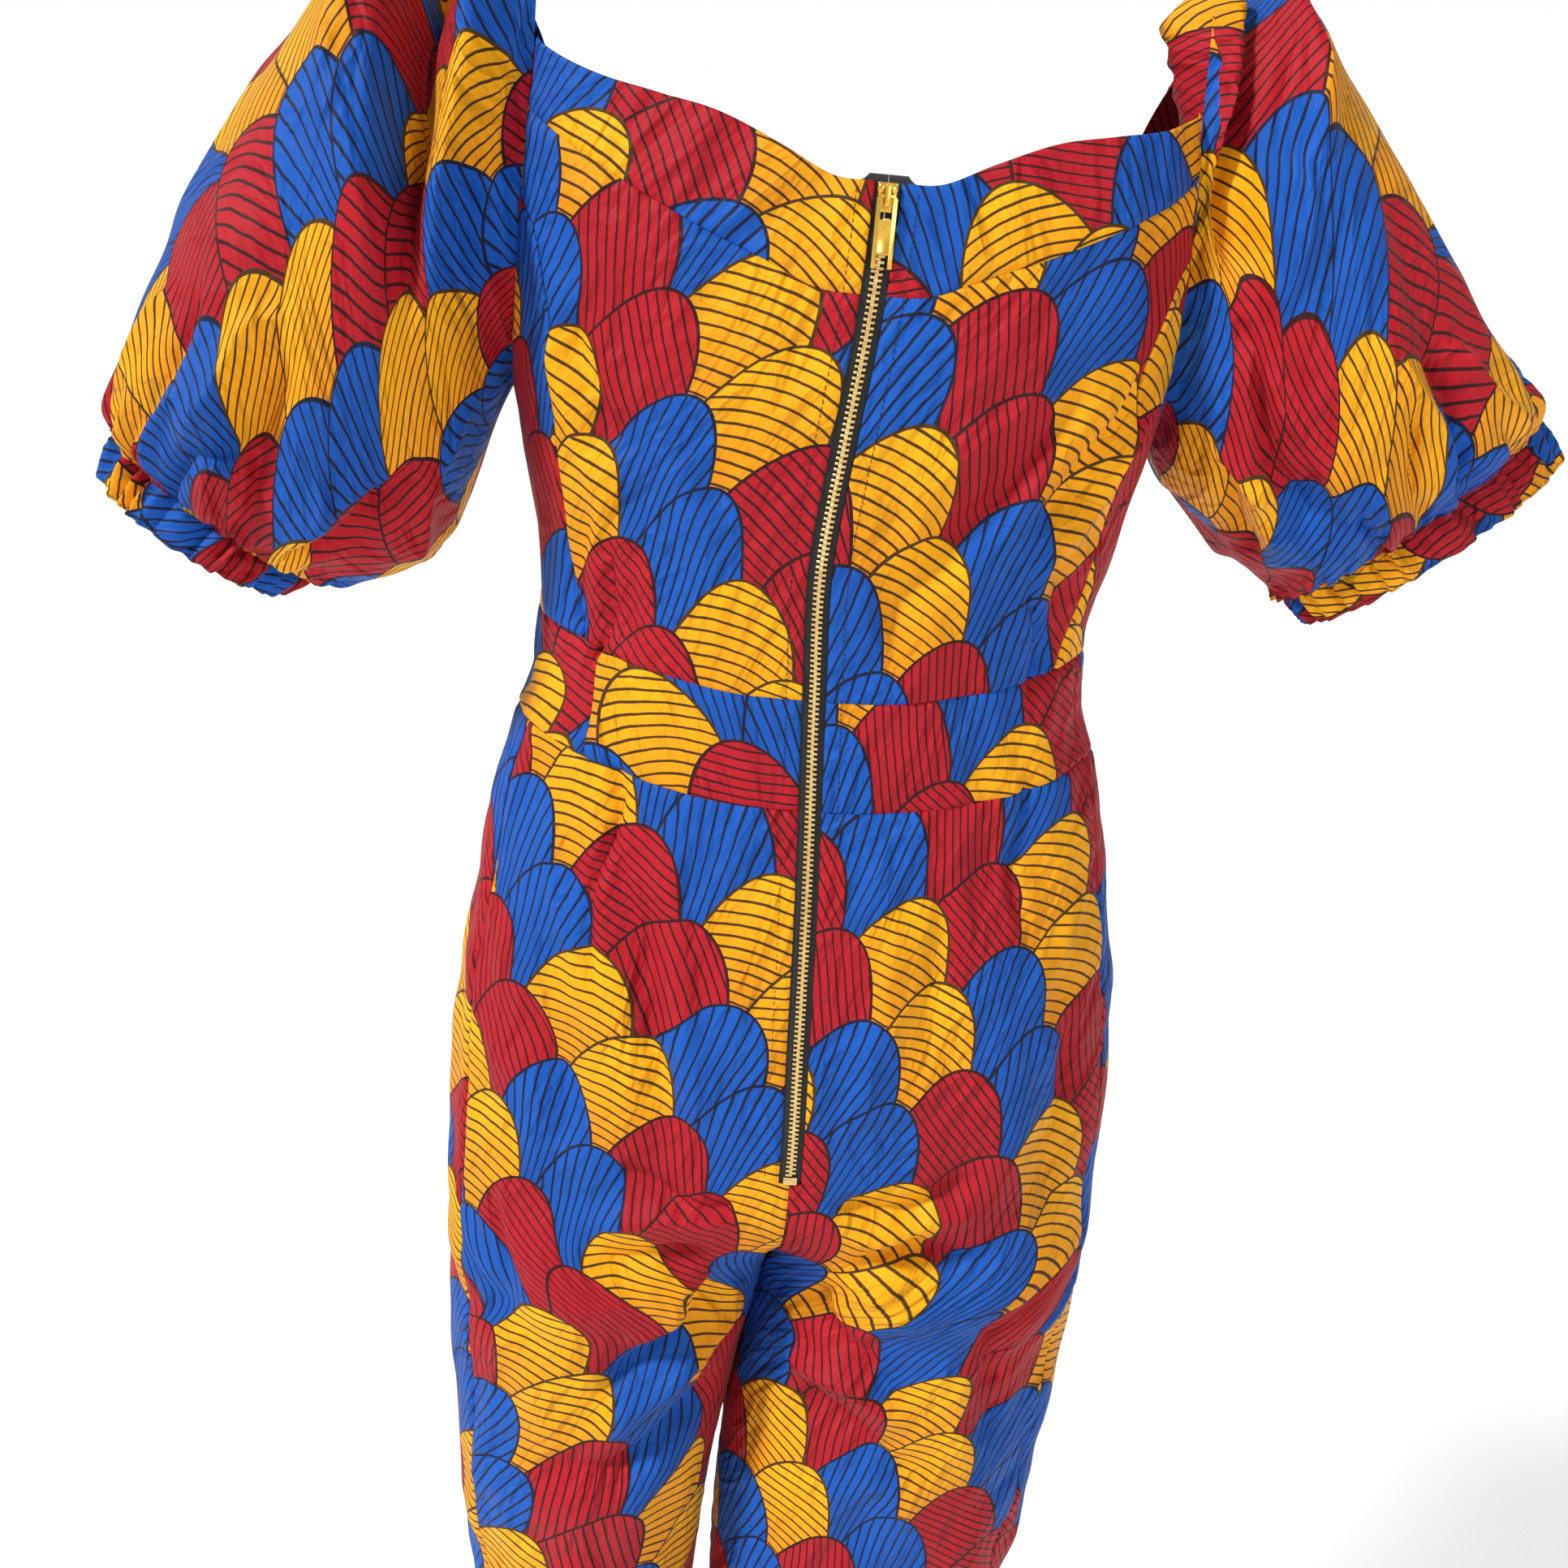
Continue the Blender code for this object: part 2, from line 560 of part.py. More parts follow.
def slot_edge(body):
    """Edge of the cloth beside the zip, as a share of the half girth."""
    return lambda z: (ZIP_SLOT / 2 - SEAM_GAP / 2) / body.girth(z)


def front_centre(z):
    return np.ones_like(z)


def build_yokes():
    up = evenly(YOKE_ROWS)
    front = {}
    for side, name in ((LEFT, "left"), (RIGHT, "right")):
        body = BODIES[side]
        yoke_top = lambda share: YOKE_TOP("z", share)
        yoke_seam = lambda share: YOKE_SEAM("z", share)
        slot = slot_edge(body)
        back_edges = []
        front_edges = []
        for z_at in (yoke_seam, yoke_top):
            back_edges.append(armhole_crossing(body, z_at, 1))
            front_edges.append(armhole_crossing(body, z_at, -1))
        (low_angle, low_share), (high_angle, high_share) = back_edges
        edges = (edge_up(slot, *(crossing(slot, z_at, 0)[1] for z_at in (yoke_seam, yoke_top))),
                 armhole_edge(body, low_angle, high_angle),
                 edge_across(yoke_seam, crossing(slot, yoke_seam, 0)[0], low_share),
                 edge_across(yoke_top, crossing(slot, yoke_top, 0)[0], high_share))
        panel(f"yoke_back_{name}", side, edges, evenly(BACK_COLUMNS), up, CLOTH_RED)
        (low_angle, low_share), (high_angle, high_share) = front_edges
        front[side] = (armhole_edge(body, low_angle, high_angle),
                       edge_up(front_centre, float(yoke_seam(1.0)), float(yoke_top(1.0))),
                       edge_across(yoke_seam, low_share, 1.0),
                       edge_across(yoke_top, high_share, 1.0))
    across = {side: evenly(FRONT_COLUMNS) for side in (LEFT, RIGHT)}
    wide_panel("yoke_front", front, across, up, CLOTH_RED)


def armhole_crossing(body, z_at, way):
    """Angle and share where a line round the body meets the armhole: way 1 behind, -1 in front."""
    z = 0.03
    for _ in range(60):
        angle = way * armhole_angle(z)
        share, _ = body.armhole(np.array(angle))
        z = 0.5 * z + 0.5 * float(z_at(share))
    return angle, float(share)


def armhole_edge(body, angle0, angle1):
    return lambda t: body.armhole(angle0 + (angle1 - angle0) * t)


def side_seam_share(body):
    def share(z):
        return body.share_at_x(SIDE_BACK_SEAM("x", z), z)
    return share


def front_side_share(body):
    """The seam in front of the arm mirrors the one behind it."""
    behind = side_seam_share(body)
    return lambda z: 2 * body.side_share(z) - behind(z)


def build_bodice():
    rows = bodice_rows()
    front = {}
    yoke_seam = lambda share: YOKE_SEAM("z", share)
    waist = lambda share: WAIST_TOP("z", share)
    for side, name in ((LEFT, "left"), (RIGHT, "right")):
        body = BODIES[side]
        slot, behind, before = slot_edge(body), side_seam_share(body), front_side_share(body)
        angle = armhole_angle(SIDE_PANEL_TOP_Z)
        back_angle, back_share = armhole_crossing(body, yoke_seam, 1)
        waist_share, waist_z = crossing(behind, waist, WAIST_TOP_GUESS)
        slot_share, slot_z = crossing(slot, waist, WAIST_TOP_GUESS)
        outer = joined_edge(edge_up(behind, waist_z, SIDE_PANEL_TOP_Z),
                            armhole_edge(body, angle, back_angle), SEAM_END)
        yoke_share, yoke_z = crossing(slot, yoke_seam, 0)
        edges = (edge_up(slot, slot_z, yoke_z), outer,
                 edge_across(waist, slot_share, waist_share),
                 edge_across(yoke_seam, yoke_share, back_share))
        panel(f"bodice_back_{name}", side, edges, evenly(BACK_COLUMNS), rows, CLOTH_BLUE)

        front_share, front_z = crossing(before, waist, WAIST_TOP_GUESS)
        edges = (edge_up(behind, waist_z, SIDE_PANEL_TOP_Z),
                 edge_up(before, front_z, SIDE_PANEL_TOP_Z),
                 edge_across(waist, waist_share, front_share),
                 armhole_edge(body, angle, -angle))
        panel(f"bodice_side_{name}", side, edges,
              between(waist_columns(body), waist_share, front_share), evenly(SEAM_ROWS),
              CLOTH_YELLOW)

        front_angle, yoke_share = armhole_crossing(body, yoke_seam, -1)
        front[side] = (joined_edge(edge_up(before, front_z, SIDE_PANEL_TOP_Z),
                                   armhole_edge(body, -angle, front_angle), SEAM_END),
                       edge_up(front_centre, float(waist(1.0)), float(yoke_seam(1.0))),
                       edge_across(waist, front_share, 1.0),
                       edge_across(yoke_seam, yoke_share, 1.0))
    across = {side: evenly(FRONT_COLUMNS) for side in (LEFT, RIGHT)}
    wide_panel("bodice_front", front, across, rows, CLOTH_BLUE)


def evenly(count):
    return np.linspace(0, 1, count + 1)


def bodice_rows():
    """Rows of the back and front: up the seam beside the arm, then up the armhole."""
    armhole = SEAM_END + evenly(ARM_ROWS)[1:] * (1 - SEAM_END)
    return np.append(evenly(SEAM_ROWS) * SEAM_END, armhole)


def trouser_rows(top_z):
    """Rows of the trousers from the hem, close together where the cloth is folded most."""
    stops, counts = (HEM_Z, KNEE_Z, CROTCH_END_Z, top_z), (SHIN_ROWS, THIGH_ROWS, HIP_ROWS)
    heights = np.concatenate([low + (high - low) * evenly(count)[:-1]
                              for low, high, count in zip(stops, stops[1:], counts)])
    heights[np.argmin(np.abs(heights - ZIP_END_Z))] = ZIP_END_Z - ZIP_END_STEP
    heights = np.sort(np.append(heights, (ZIP_END_Z + ZIP_END_STEP, top_z)))
    return (heights - HEM_Z) / (top_z - HEM_Z)


def zip_rows(low, high):
    """Heights from low to high, with the rows of the cloth beside the zip among them."""
    slot = slot_edge(BODIES[RIGHT])
    foot, waist, yoke, top = (crossing(slot, lambda share: table("z", share), 0.0)[1]
                              for table in (WAIST_FOOT, WAIST_TOP, YOKE_SEAM, YOKE_TOP))
    rows = ((HEM_Z, foot, trouser_rows(foot)), (foot, waist, evenly(BAND_ROWS)),
            (waist, yoke, bodice_rows()), (yoke, top, evenly(YOKE_ROWS)))
    heights = np.concatenate([start + (end - start) * row for start, end, row in rows])
    inside = heights[(heights > low + ZIP_END_STEP) & (heights < high - ZIP_END_STEP)]
    return np.unique(np.round(np.concatenate([[low], inside, [high]]), 6))


def waist_columns(body):
    """Shares of the half girth at which all panels meet the waistband: from the zip to the
    bodice's seam behind the arm, the trousers' side seam, the seam before the arm, the front."""
    waist = lambda share: WAIST_TOP("z", share)
    slot = crossing(slot_edge(body), waist, WAIST_TOP_GUESS)[0]
    behind = crossing(side_seam_share(body), waist, WAIST_TOP_GUESS)[0]
    before = crossing(front_side_share(body), waist, WAIST_TOP_GUESS)[0]
    stops = (slot, behind, SIDE_SEAM, before, 1.0)
    counts = (BACK_COLUMNS, *SIDE_COLUMNS, FRONT_COLUMNS)
    runs = [start + (end - start) * evenly(count)[:-1]
            for start, end, count in zip(stops, stops[1:], counts)]
    return np.append(np.concatenate(runs), 1.0)


def between(columns, start, end):
    """The columns from start to end, as 0..1."""
    near = 1e-6
    chosen = columns[(columns > start - near) & (columns < end + near)]
    return (chosen - chosen[0]) / (chosen[-1] - chosen[0])


def joined_edge(first, second, share):
    """One edge made of two, the first up to the given share of 0..1."""
    def edge(t):
        a, b = first(np.clip(t / share, 0, 1)), second(np.clip((t - share) / (1 - share), 0, 1))
        return tuple(np.where(t <= share, a[k], b[k]) for k in range(2))
    return edge


def build_waistband():
    top = lambda share: WAIST_TOP("z", share)
    foot = lambda share: WAIST_FOOT("z", share)
    front, across = {}, {}
    for side, name in ((LEFT, "left"), (RIGHT, "right")):
        slot, columns = slot_edge(BODIES[side]), waist_columns(BODIES[side])
        seam_share = columns[BAND_SEAM_COLUMN[side]]
        seam = lambda z, share=seam_share: np.full_like(z, share)
        seam_z = float(foot(seam_share)), float(top(seam_share))
        foot_share, foot_z = crossing(slot, foot, WAIST_FOOT_GUESS)
        top_share, top_z = crossing(slot, top, WAIST_TOP_GUESS)
        edges = (edge_up(slot, foot_z, top_z), edge_up(seam, *seam_z),
                 edge_across(foot, foot_share, seam_share),
                 edge_across(top, top_share, seam_share))
        panel(f"waistband_back_{name}", side, edges, between(columns, 0, seam_share),
              evenly(BAND_ROWS), CLOTH_YELLOW)
        across[side] = between(columns, seam_share, 1.0)
        front[side] = (edge_up(seam, *seam_z),
                       edge_up(front_centre, float(foot(1.0)), float(top(1.0))),
                       edge_across(foot, seam_share, 1.0),
                       edge_across(top, seam_share, 1.0))
    wide_panel("waistband_front", front, across, evenly(BAND_ROWS), CLOTH_YELLOW)


def build_trousers():
    top = lambda share: WAIST_FOOT("z", share)
    hem = lambda share: np.full_like(share, HEM_Z)
    for side, name in ((LEFT, "left"), (RIGHT, "right")):
        body = BODIES[side]
        slot, columns = slot_edge(body), waist_columns(body)

        def centre(z):
            return np.where(z > ZIP_END_Z, slot(z), 0.0)

        seam = lambda z: np.full_like(z, SIDE_SEAM)
        corner_share, corner_z = crossing(slot, top, WAIST_FOOT_GUESS)
        side_z = float(top(SIDE_SEAM))
        rows = trouser_rows(corner_z)
        edges = (edge_up(centre, HEM_Z, corner_z), edge_up(seam, HEM_Z, side_z),
                 edge_across(hem, 0.0, SIDE_SEAM), edge_across(top, corner_share, SIDE_SEAM))
        panel(f"trouser_back_{name}", side, edges, between(columns, 0, SIDE_SEAM), rows,
              CLOTH_BLUE)
        edges = (edge_up(seam, HEM_Z, side_z),
                 edge_up(front_centre, HEM_Z, float(top(1.0))),
                 edge_across(hem, SIDE_SEAM, 1.0), edge_across(top, SIDE_SEAM, 1.0))
        panel(f"trouser_front_{name}", side, edges, between(columns, SIDE_SEAM, 1.0), rows,
              CLOTH_BLUE)


def build_sleeves():
    half_gap = SEAM_GAP / 2 / SLEEVE_LENGTH
    for side, name in ((LEFT, "left"), (RIGHT, "right")):
        pieces = (("sleeve", 0.0, SEAM_T - half_gap, np.array(SLEEVE_ROWS), CLOTH_YELLOW),
                  ("cuff", SEAM_T + half_gap, CUFF_END_T, evenly(CUFF_ROWS), CLOTH_RED))
        angles = np.arange(SLEEVE_COLUMNS) / SLEEVE_COLUMNS * 2 * math.pi
        for piece, start, end, rows, colour in pieces:
            angle, t = np.meshgrid(angles, start + (end - start) * rows, indexing="ij")
            grid = sleeve_point(side, angle, t)
            cloth_wall(f"{piece}_{name}", grid, side == RIGHT, closed=True, colour=colour)


def zip_strip(name, near, far, heights, out, thickness, colour, roughness, metallic=0.0):
    """A strip along the zip between two distances from its line, its outer face moved by out."""
    across = np.linspace(near, far, 4)
    grid = np.array([[zip_point(x, z, out) for z in heights] for x in across])
    item = cloth_wall(name, grid, False, wall=thickness, colour=colour, roughness=roughness)
    item.data.materials[0].node_tree.nodes["Principled BSDF"].inputs["Metallic"].default_value = \
        metallic
    return item


def zip_point(distance, z, out):
    """A point beside the zip's line, at a signed distance from it."""
    body = BODIES[RIGHT if distance >= 0 else LEFT]
    return body.point(np.array(abs(distance) / body.girth(z)), np.array(z), out)


def build_zip():
    tape_out = -WALL - LAYER_GAP
    tape_z = zip_rows(ZIP_END_Z - TAPE_TAIL, TAPE_TOP_Z)
    edge = SEAM_GAP
    zip_strip("zip_tape_left", -TAPE_WIDTH, -edge, tape_z, tape_out, TAPE_THICK, TAPE_BLACK, 0.8)
    zip_strip("zip_tape_right", edge, TAPE_WIDTH, tape_z, tape_out, TAPE_THICK, TAPE_BLACK, 0.8)
    chain_out = tape_out + LAYER_GAP + CHAIN_THICK
    chain_z = zip_rows(CHAIN_END_Z, CHAIN_TOP_Z)
    zip_strip("zip_chain", -CHAIN_WIDTH / 2, CHAIN_WIDTH / 2, chain_z, chain_out, CHAIN_THICK,
              BRASS, 0.3, 1.0)
    stop_z = CHAIN_END_Z - LAYER_GAP - np.array([STOP_HEIGHT, 0.0])
    zip_strip("zip_bottom_stop", -STOP_WIDTH / 2, STOP_WIDTH / 2, stop_z, chain_out, CHAIN_THICK,
              BRASS, 0.3, 1.0)
    build_slider(tape_out)
    build_pull_tab()


def box(name, low, high, bevel=0.0):
    """A box between two corners, its edges rounded by bevel."""
    low, high = Vector(low), Vector(high)
    bpy.ops.mesh.primitive_cube_add(size=1.0, location=(low + high) / 2)
    item = bpy.context.object
    item.name = name
    item.scale = high - low
    bpy.ops.object.transform_apply(location=False, rotation=False, scale=True)
    if bevel:
        modifier = item.modifiers.new("round", "BEVEL")
        modifier.width = bevel
        modifier.segments = 2
    return item


def cut(item, cutter):
    """Cuts one object from another and keeps the cutter out of the part."""
    modifier = item.modifiers.new("cut", "BOOLEAN")
    modifier.object = cutter
    modifier.operation = "DIFFERENCE"
    for collection in cutter.users_collection:
        collection.objects.unlink(cutter)
    bpy.data.collections["cutters"].objects.link(cutter)
    cutter.hide_render = True
    cutter.display_type = "WIRE"


def zip_face_y():
    """The cloth's outer face beside the slider."""
    return float(zip_point(0.0, (SLIDER_TOP_Z + SLIDER_FOOT_Z) / 2, 0.0)[1])


def plate_y():
    """The slider's front face, towards -Y."""
    return zip_face_y() + WALL - SLIDER_THICK


def build_slider(tape_out):
    x = float(CENTRE("x", (SLIDER_TOP_Z + SLIDER_FOOT_Z) / 2))
    back, face = zip_face_y() - tape_out - LAYER_GAP, plate_y()
    slider = box("zip_slider", (x - SLIDER_WIDTH / 2, face, SLIDER_FOOT_Z),
                 (x + SLIDER_WIDTH / 2, back, SLIDER_TOP_Z))
    for vertex in slider.data.vertices:
        if vertex.co.z < 0:
            vertex.co.x *= SLIDER_FOOT_WIDTH / SLIDER_WIDTH
    rounding = slider.modifiers.new("round", "BEVEL")
    rounding.width = SLIDER_ROUNDING
    rounding.segments = 2
    bridge = box("bridge", (x - BRIDGE_WIDTH / 2, face - BRIDGE_HEIGHT, PIN_Z - BRIDGE_LENGTH / 2),
                 (x + BRIDGE_WIDTH / 2, face + BRIDGE_SUNK, PIN_Z + BRIDGE_LENGTH / 2))
    union = slider.modifiers.new("bridge", "BOOLEAN")
    union.object = bridge
    union.operation = "UNION"
    for collection in bridge.users_collection:
        collection.objects.unlink(bridge)
    bpy.data.collections["cutters"].objects.link(bridge)
    bridge.hide_render = True
    bridge.display_type = "WIRE"
    slot = box("pin_slot",
               (x - BRIDGE_WIDTH, face - BRIDGE_HEIGHT + BRIDGE_BAR,
                PIN_Z - BRIDGE_LENGTH / 2 + BRIDGE_END),
               (x + BRIDGE_WIDTH, face, PIN_Z + BRIDGE_LENGTH / 2 - BRIDGE_END))
    cut(slider, slot)
    link(slider)
    give_material(slider, BRASS, 0.25, 1.0)


def build_pull_tab():
    """The tab's origin is on its pin, which turns in the slider's bridge."""
    x = float(CENTRE("x", (SLIDER_TOP_Z + SLIDER_FOOT_Z) / 2))
    pin = Vector((x, plate_y() - PIN_LIFT, PIN_Z))
    half = TAB_THICK / 2
    tab = box("zip_pull_tab", (-TAB_WIDTH / 2, -half, TAB_HEAD - TAB_LENGTH),
              (TAB_WIDTH / 2, half, TAB_HEAD))
    tab.data.transform(tab.matrix_world)
    tab.location = pin
    rounding = tab.modifiers.new("round", "BEVEL")
    rounding.width = TAB_ROUNDING
    rounding.segments = 1
    inner = TAB_WIDTH / 2 - TAB_RAIL
    z = -TAB_HEAD
    window = box("upper_window", (-inner, -TAB_THICK, z - TAB_UPPER_WINDOW), (inner, TAB_THICK, z))
    z -= TAB_UPPER_WINDOW + TAB_BAR
    recess = box("panel_recess", (-inner, -TAB_THICK, z - TAB_PANEL),
                 (inner, TAB_PANEL_DEPTH - half, z))
    z -= TAB_PANEL + TAB_SILL
    lower = box("lower_window", (-inner, -TAB_THICK, z - TAB_LOWER_WINDOW), (inner, TAB_THICK, z))
    for cutter in (window, recess, lower):
        cutter.location += pin
        cut(tab, cutter)
    link(tab)
    give_material(tab, BRASS, 0.22, 1.0)


def main():
    for item in list(bpy.data.objects):
        bpy.data.objects.remove(item, do_unlink=True)
    for name in (COLLECTION, "cutters"):
        bpy.context.scene.collection.children.link(bpy.data.collections.new(name))
    build_yokes()
    build_bodice()
    build_waistband()
    build_trousers()
    build_sleeves()
    build_zip()


main()
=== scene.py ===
# Looks of the off-shoulder jumpsuit: cloth with its print and folds, zip, stitching, floor, light
# and camera. Metres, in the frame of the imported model: the back with the zip faces -Y.
import math

import bmesh
import bpy
import numpy as np
from mathutils import Matrix, Vector


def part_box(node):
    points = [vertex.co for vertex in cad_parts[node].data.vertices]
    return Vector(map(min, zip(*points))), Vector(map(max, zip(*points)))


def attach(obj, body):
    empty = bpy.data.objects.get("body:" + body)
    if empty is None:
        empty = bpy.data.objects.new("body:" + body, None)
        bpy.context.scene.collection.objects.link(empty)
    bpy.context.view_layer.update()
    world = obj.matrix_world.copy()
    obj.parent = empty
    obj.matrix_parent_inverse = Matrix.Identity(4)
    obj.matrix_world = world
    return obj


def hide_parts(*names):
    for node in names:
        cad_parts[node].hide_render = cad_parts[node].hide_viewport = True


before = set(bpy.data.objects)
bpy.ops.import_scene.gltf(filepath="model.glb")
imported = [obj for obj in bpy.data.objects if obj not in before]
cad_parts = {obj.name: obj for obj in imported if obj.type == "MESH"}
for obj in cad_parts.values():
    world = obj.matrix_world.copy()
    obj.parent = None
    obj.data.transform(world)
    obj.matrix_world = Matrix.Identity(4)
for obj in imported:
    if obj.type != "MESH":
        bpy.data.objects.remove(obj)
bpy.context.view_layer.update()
left, right = -1, 1
sideNames = {left: "left", right: "right"}
scene = bpy.context.scene

# Sizes of the cut, the same as in the solids
cut = dict(
    zipEndZ=-0.4910, crotchStartZ=-0.508, crotchEndZ=-0.605, hemZ=-1.200, sideSeam=0.41,
    armholeZ=0.008, armholeHalfHeight=0.108, armholeHalfGirth=0.062, armholePower=0.91,
    sidePanelTopZ=-0.015, seamEnd=0.8, seamGap=0.0003, zipSlot=0.0118, tapeWidth=0.0155,
    sleeveStep=0.0006, sleeveBlend=0.24, sleeveLength=0.27, sleeveRadius=0.09, cuffEndT=1.08)


class Table:
    def __init__(self, columns, rows):
        values = np.array(sorted(rows), dtype=float).T
        self.key = values[0]
        self.columns = {name: (column, np.gradient(column, self.key))
                        for name, column in zip(columns.split(), values)}

    def __call__(self, name, at):
        keys, (values, slopes) = self.key, self.columns[name]
        at = np.clip(np.asarray(at, dtype=float), keys[0], keys[-1])
        i = np.clip(np.searchsorted(keys, at) - 1, 0, len(keys) - 2)
        step = keys[i + 1] - keys[i]
        t = (at - keys[i]) / step
        rise = t * t * (3 - 2 * t)
        first = (1 - rise) * values[i] + rise * values[i + 1]
        return first + step * t * (1 - t) * ((1 - t) * slopes[i] - t * slopes[i + 1])


# A line of the cut, with one value at each place
class Line(Table):
    def __init__(self, rows):
        super().__init__("at value", rows)

    def __call__(self, at):
        return super().__call__("value", at)


# Sections of the body and, below the crotch, the outer side of the legs
bodyTable = Table("z halfWidth backDepth frontDepth squareness lean", [
    (0.125, 0.156, 0.088, 0.078, 3.2, 0), (0.05, 0.162, 0.098, 0.086, 3.2, 0),
    (0, 0.165, 0.104, 0.094, 3.2, 0), (-0.05, 0.165, 0.105, 0.106, 3, 0),
    (-0.1, 0.161, 0.102, 0.112, 2.7, 0), (-0.15, 0.151, 0.096, 0.104, 2.4, 0),
    (-0.21, 0.1435, 0.087, 0.09, 2.25, 0), (-0.24, 0.147, 0.083, 0.086, 2.2, 0.0006),
    (-0.3, 0.1635, 0.084, 0.091, 2.2, 0.0018), (-0.36, 0.1745, 0.092, 0.098, 2.2, 0.0028),
    (-0.42, 0.1828, 0.097, 0.099, 2.2, 0.004), (-0.48, 0.1866, 0.096, 0.095, 2.2, 0.0048),
    (-0.54, 0.1868, 0.091, 0.089, 2.2, 0.005), (-0.6, 0.1846, 0.084, 0.083, 2.2, 0.0045),
    (-0.69, 0.1796, 0.076, 0.076, 2.2, 0.004), (-0.78, 0.169, 0.067, 0.068, 2.2, 0.0045),
    (-0.9, 0.156, 0.062, 0.061, 2.2, 0.004), (-1.05, 0.142, 0.057, 0.054, 2.2, 0.002),
    (-1.2, 0.13, 0.052, 0.05, 2.2, 0)])
frontSpread = dict(width=0.022, z=0.020, rise=0.090, share=0.44, shareRise=0.16)
seatFullness = 0.12
centreReach = 0.3       # how far round the body its back follows the centre line

# The line of the zip, then of the centre seam, then the middle of the gap between the legs
centreTable = Table("z x halfGap", [
    (0.125, 0.0066, 0), (0, 0.0066, 0), (-0.06, 0.0036, 0), (-0.11, -0.0015, 0),
    (-0.17, -0.0066, 0), (-0.236, -0.0034, 0), (-0.3, 0, 0), (-0.42, 0.0038, 0),
    (-0.49, 0.0058, 0), (-0.6, 0.002, 0), (-0.64, -0.006, 0), (-0.665, -0.0095, 0),
    (-0.72, -0.015, 0.0022), (-0.81, -0.018, 0.0052), (-0.95, -0.013, 0.015),
    (-1.2, -0.004, 0.03)])

# Lines of the cut, by shares of the half girth from the centre of the back
yokeTop = Line([
    (0, 0), (0.05, 0), (0.1, 0.01), (0.167, 0.022), (0.225, 0.0275), (0.29, 0.034),
    (0.35, 0.044), (0.4, 0.054), (0.58, 0.048), (0.68, 0.02), (0.8, -0.004), (0.92, -0.014),
    (1, -0.016)])
yokeSeam = Line([
    (0, -0.048), (0.06, -0.046), (0.1, -0.038), (0.158, -0.028), (0.215, -0.0165), (0.29, 0),
    (0.35, 0.014), (0.4, 0.024), (0.58, 0.018), (0.7, -0.026), (0.82, -0.048), (0.93, -0.06),
    (1, -0.062)])
waistTop = Line([
    (0, -0.2365), (0.1, -0.2355), (0.25, -0.227), (0.42, -0.213), (0.55, -0.211), (0.8, -0.22),
    (1, -0.224)])
waistFoot = Line([
    (0, -0.2925), (0.1, -0.291), (0.25, -0.282), (0.42, -0.268), (0.55, -0.266), (0.8, -0.275),
    (1, -0.279)])
sideBackSeam = Line([
    (-0.015, 0.157), (-0.032, 0.1475), (-0.058, 0.1405), (-0.095, 0.1375), (-0.145, 0.1325),
    (-0.19, 0.127), (-0.225, 0.119)])

# Sleeves: the line of each section from its low point to its top, and its half depth
sleeveColumns = "t topX topZ lowX lowZ halfDepth"
sleeveTables = {
    left: Table(sleeveColumns, [
        (0, 0.16, 0.116, 0.163, -0.1, 0.062), (0.12, 0.186, 0.13, 0.171, -0.118, 0.08),
        (0.3, 0.236, 0.096, 0.18, -0.15, 0.096), (0.5, 0.294, 0.01, 0.192, -0.18, 0.096),
        (0.7, 0.331, -0.056, 0.211, -0.198, 0.088), (0.85, 0.349, -0.099, 0.236, -0.207, 0.075),
        (0.95, 0.357, -0.131, 0.256, -0.208, 0.057), (1, 0.353, -0.144, 0.266, -0.204, 0.046),
        (1.04, 0.359, -0.154, 0.272, -0.211, 0.048), (1.08, 0.364, -0.163, 0.279, -0.217, 0.046)]),
    right: Table(sleeveColumns, [
        (0, 0.16, 0.116, 0.163, -0.1, 0.062), (0.12, 0.182, 0.119, 0.171, -0.119, 0.08),
        (0.3, 0.227, 0.078, 0.184, -0.131, 0.095), (0.5, 0.276, 0.018, 0.203, -0.145, 0.095),
        (0.7, 0.312, -0.026, 0.224, -0.162, 0.084), (0.85, 0.345, -0.051, 0.24, -0.172, 0.07),
        (0.95, 0.363, -0.066, 0.249, -0.178, 0.05), (1, 0.366, -0.077, 0.254, -0.176, 0.036),
        (1.04, 0.375, -0.086, 0.26, -0.184, 0.039), (1.08, 0.382, -0.095, 0.267, -0.191, 0.036)])}

# Largest folds of body and legs, as in the solids: from and to, as distance along the cloth from
# the centre line and height, then half width and lift (a trough is negative), in millimetres
bodyFolds = {
    left: [
        (88, -295, 62, -520, 9, -4.5), (73, -300, 48, -520, 14, 4), (95, -70, 45, -205, 12, 3.5),
        (112, -60, 62, -200, 11, -3), (130, -330, 110, -560, 16, -4),
        (50, -520, 110, -585, 14, 4.5), (70, -650, 130, -820, 20, 5),
        (150, -700, 90, -980, 22, -4.5)],
    right: [
        (95, -295, 88, -345, 10, -3.5), (125, -75, 50, -205, 12, 3.5),
        (110, -60, 30, -215, 10, -3), (120, -380, 100, -560, 18, 4),
        (50, -520, 120, -565, 13, -4.5), (60, -550, 120, -640, 15, 4.5),
        (90, -640, 150, -840, 20, -5), (140, -760, 80, -1020, 22, 4.5)]}

